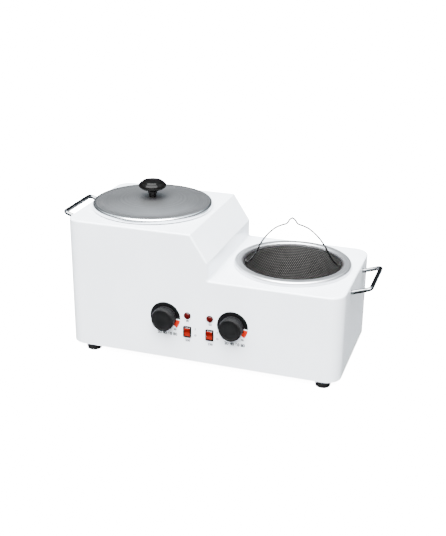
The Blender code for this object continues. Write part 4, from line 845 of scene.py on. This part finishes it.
# Controls on the panel: knobs, lamps and printed marks
panel = {"y": caseY - case["halfDepth"], "knobX": 63.0 * mm, "knobZ": 93.0 * mm, "lampX": 21.0 * mm,
         "lampZ": 101.8 * mm}
knob = {"radius": 21.5 * mm, "gap": 1.0 * mm, "height": 17.0 * mm, "ribs": 24, "depth": 0.3 * mm,
        "boreR": 3.3 * mm, "steps": 288}
lens = {"radius": 6.5 * mm, "height": 3.2 * mm}


def buildKnobs():
    radius, top, low = knob["radius"], knob["gap"] + knob["height"], knob["gap"]
    profile = filleted([
        (knob["boreR"], low + 8 * mm, 0), (knob["boreR"], low, 0), (radius - 0.4 * mm, low, 0.3 * mm),
        (radius, top - 6 * mm, 2 * mm), (radius - 0.9 * mm, top - 1.2 * mm, 1.2 * mm),
        (radius - 2.6 * mm, top, 0.8 * mm), (radius - 4.2 * mm, top - 0.1 * mm, 0.5 * mm),
        (radius - 4.8 * mm, top - 0.5 * mm, 0.4 * mm), (0, top - 0.3 * mm, 0),
    ], 4)[0]

    def flute(angle, height):
        # round ribs on the side wall, fading toward the front edge
        fade = np.clip((top - 1.5 * mm - height) / (3 * mm), 0, 1) * (height > low + 0.1 * mm)
        return 1 - knob["depth"] / radius * fade * (0.5 - 0.5 * np.cos(knob["ribs"] * angle)) ** 2

    for side, sign in (("left", -1), ("right", 1)):
        place = (sign * panel["knobX"], panel["y"], panel["knobZ"])
        piece = turnedPiece(side + "HeatKnob", profile, knob["steps"], finishes["black"], place, False,
                            flute, "front")
        standFor(piece, side + "_knob", "black_plastic", side + "_control_knob")


def buildLenses():
    radius, height = lens["radius"], lens["height"]
    profile = filleted([
        (0, 0.3 * mm, 0), (radius, 0.3 * mm, 0), (radius, 1.5 * mm, 0.4 * mm),
        (radius - 1.1 * mm, 1.7 * mm, 0.3 * mm), (radius - 1.5 * mm, height - 0.3 * mm, 0.9 * mm),
        (0, height, 0),
    ], 5)[0]
    for side, sign in (("left", -1), ("right", 1)):
        place = (sign * panel["lampX"], panel["y"], panel["lampZ"])
        piece = turnedPiece(side + "LampLens", profile, 72, finishes["lens"], place, facing="front")
        standFor(piece, "case", "red_lens", side + "_indicator_lens")


marks = {"inner": 20.5 * mm, "outer": 28.6 * mm, "start": 232.0, "blackEnd": -3.0, "orangeStart": -7.0,
         "orangeEnd": -41.0, "proud": 0.12 * mm}


def ringSector(centreX, start, end, inner, outer):
    # flat ring piece: angle along rows, radius along columns, just proud of the panel
    angle = np.radians(np.linspace(start, end, 90))[:, None]
    radius = np.linspace(inner, outer, 3)[None, :]
    across = centreX + radius * np.cos(angle)
    up = panel["knobZ"] + radius * np.sin(angle)
    return np.stack([across, np.full_like(across, panel["y"] - marks["proud"]), up], axis=-1)


def buildMarks():
    for name, finish, start, end in (("heatScale", "inkBlack", marks["start"], marks["blackEnd"]),
                                     ("hotZone", "inkOrange", marks["orangeStart"], marks["orangeEnd"])):
        grids = [ringSector(sign * panel["knobX"], start, end, marks["inner"], marks["outer"])
                 for sign in (-1, 1)]
        rows, columns = grids[0].shape[:2]
        faces = gridFaces(rows, columns)
        points = np.concatenate([grid.reshape(-1, 3) for grid in grids])
        piece = makePiece(name, points, np.concatenate([faces, faces + rows * columns]), finishes[finish],
                          outward=False)
        if piece.data.polygons[0].normal.y > 0:
            piece.data.flip_normals()
        standFor(piece, "case", "black_plastic" if finish == "inkBlack" else "red_rocker")


labelType = {"size": 1.4, "bold": 0.28 * mm}    # letter size per cap height, and the stroke added
labels = [
    # words, centre x, centre z, height
    ("20 40 60 80", -59.5, 61.5, 5.6), ("20 40 60 80", 67.5, 59.6, 5.6),
    ("90", -44.5, 70.9, 3.4), ("90", 82.0, 70.0, 3.4),
    ("01", -20.5, 91.0, 3.8), ("02", 21.8, 90.6, 3.8),
    ("230", -20.5, 53.0, 4.2), ("230", 22.2, 52.0, 4.2),
    ("I", -6.2, 77.3, 3.6), ("O", -5.9, 64.9, 3.4), ("I", 35.2, 76.7, 3.6), ("O", 35.5, 64.6, 3.4),
]


def buildLabels():
    pieces = []
    for words, x, z, height in labels:
        data = bpy.data.curves.new("label", "FONT")
        data.body = words
        data.size = height * labelType["size"] * mm
        data.offset = labelType["bold"]
        data.align_x = "CENTER"
        data.align_y = "CENTER"
        text = bpy.data.objects.new("label", data)
        bpy.context.scene.collection.objects.link(text)
        bpy.context.view_layer.update()
        mesh = bpy.data.meshes.new_from_object(text.evaluated_get(bpy.context.evaluated_depsgraph_get()))
        bpy.data.objects.remove(text, do_unlink=True)
        place = Matrix.Translation((x * mm, panel["y"] - marks["proud"], z * mm))
        mesh.transform(place @ Matrix.Rotation(math.radians(90), 4, "X"))
        pieces.append(mesh)
    points, faces = [], []
    for mesh in pieces:
        start = len(points)
        points += [tuple(vertex.co) for vertex in mesh.vertices]
        faces += [[start + index for index in face.vertices] for face in mesh.polygons]
    piece = makePiece("panelNumbers", np.array(points), faces, finishes["inkGrey"], outward=False)
    if piece.data.polygons[0].normal.y > 0:
        piece.data.flip_normals()
    standFor(piece, "case", "black_plastic")


buildKnobs()
buildLenses()
buildMarks()
buildLabels()
print("controls built")

# The CAD nodes that stay take these finishes
carried = {
    "zinc": ["base_plate", "left_well", "right_well"],
    "steel": ["front_left_foot_screw", "front_right_foot_screw", "rear_left_foot_screw",
              "rear_right_foot_screw", "left_band_screw", "right_band_screw", "lid_knob_screw",
              "left_side_handle_screw_left", "left_side_handle_screw_right",
              "right_side_handle_screw_left", "right_side_handle_screw_right", "inlet_screw_left",
              "inlet_screw_right"],
    # the bail ears take the wire's finish, painted dark as shade
    "wire": ["bail_ear_left", "bail_ear_right"],
    "band": ["left_band_heater", "right_band_heater"],
    "wool": ["left_insulation", "right_insulation"],
    "copper": ["left_sensor_bulb", "right_sensor_bulb"],
    "ceramic": ["left_thermal_cutout", "right_thermal_cutout", "left_thermostat_body",
                "right_thermostat_body", "terminal_block"],
    "brass": ["left_thermostat_shaft", "right_thermostat_shaft", "inlet_pin_line", "inlet_pin_neutral",
              "inlet_pin_earth", "earth_stud"],
    "black": ["left_indicator_body", "right_indicator_body", "left_switch_housing",
              "right_switch_housing", "power_inlet"],
    "rocker": ["left_rocker", "right_rocker"],
}
for finish, names in carried.items():
    for name in names:
        nodes[name].data.materials.clear()
        nodes[name].data.materials.append(finishes[finish])
print("frame nodes finished")


# Studio: wide white floor, pale dome with a dim band near the horizon, and one large soft sun
studio = {
    "floor": 60.0,
    "floorGlow": 14.0,
    "bounce": 0.08,
    "dome": [(-1.0, 0.02), (-0.35, 0.05), (-0.25, 0.5), (0.0, 0.5), (0.03, 0.02), (0.50, 0.05),
             (0.62, 0.35), (0.75, 1.0), (1.0, 1.0)],
    "domeTint": (0.82, 0.93, 1.0),
    "domePower": 2.5,
    "sunFrom": (0.06, -0.42, 0.91),
    "sunPower": 30.0,
    "sunSpread": 70.0,
}


def addFloor(name, level, colour, glow):
    half = studio["floor"] / 2
    corners = [(-half, -half, level), (half, -half, level), (half, half, level), (-half, half, level)]
    material, place = startMaterial(name)
    grain = place.noise(8.0)
    pale = tuple(value * 1.02 for value in colour)
    finishMaterial(material, {"Base Color": grain.mix(colour, pale), "Roughness": 0.9,
                              "Emission Color": (1.0, 1.0, 1.0), "Emission Strength": glow})
    mesh = bpy.data.meshes.new(name)
    mesh.from_pydata(corners, [], [(0, 1, 2, 3)])
    mesh.materials.append(material)
    floor = bpy.data.objects.new(name, mesh)
    bpy.context.scene.collection.objects.link(floor)
    return floor


def buildStudio():
    # the white floor is what is seen, and the dim one under it is what lights the part from below
    seen = addFloor("paleFloor", 0.0, (0.93, 0.93, 0.93), studio["floorGlow"])
    seen.visible_diffuse = seen.visible_glossy = seen.visible_shadow = False
    bounce = addFloor("bounceFloor", -2.0 * mm, (studio["bounce"],) * 3, 0.0)
    bounce.visible_camera = bounce.visible_glossy = False

    world = bpy.data.worlds.new("paleSurround")
    world.use_nodes = True
    tree = world.node_tree
    direction = Field(tree, tree.nodes.new("ShaderNodeTexCoord").outputs["Generated"])
    height = direction.axes()[2] * 0.5 + 0.5
    stops = [((up + 1) / 2, tuple(light * part for part in studio["domeTint"]))
             for up, light in studio["dome"]]
    shade = height.node("ShaderNodeValToRGB", {"stops": stops}, {0: height})
    background = tree.nodes["Background"]
    tree.links.new(shade.out, background.inputs["Color"])
    background.inputs["Strength"].default_value = studio["domePower"]
    bpy.context.scene.world = world

    data = bpy.data.lights.new("softSun", "SUN")
    data.energy = studio["sunPower"]
    data.angle = math.radians(studio["sunSpread"])
    sun = bpy.data.objects.new("softSun", data)
    sun.matrix_world = Vector(studio["sunFrom"]).to_track_quat("Z", "Y").to_matrix().to_4x4()
    bpy.context.scene.collection.objects.link(sun)


buildStudio()
print("studio set")
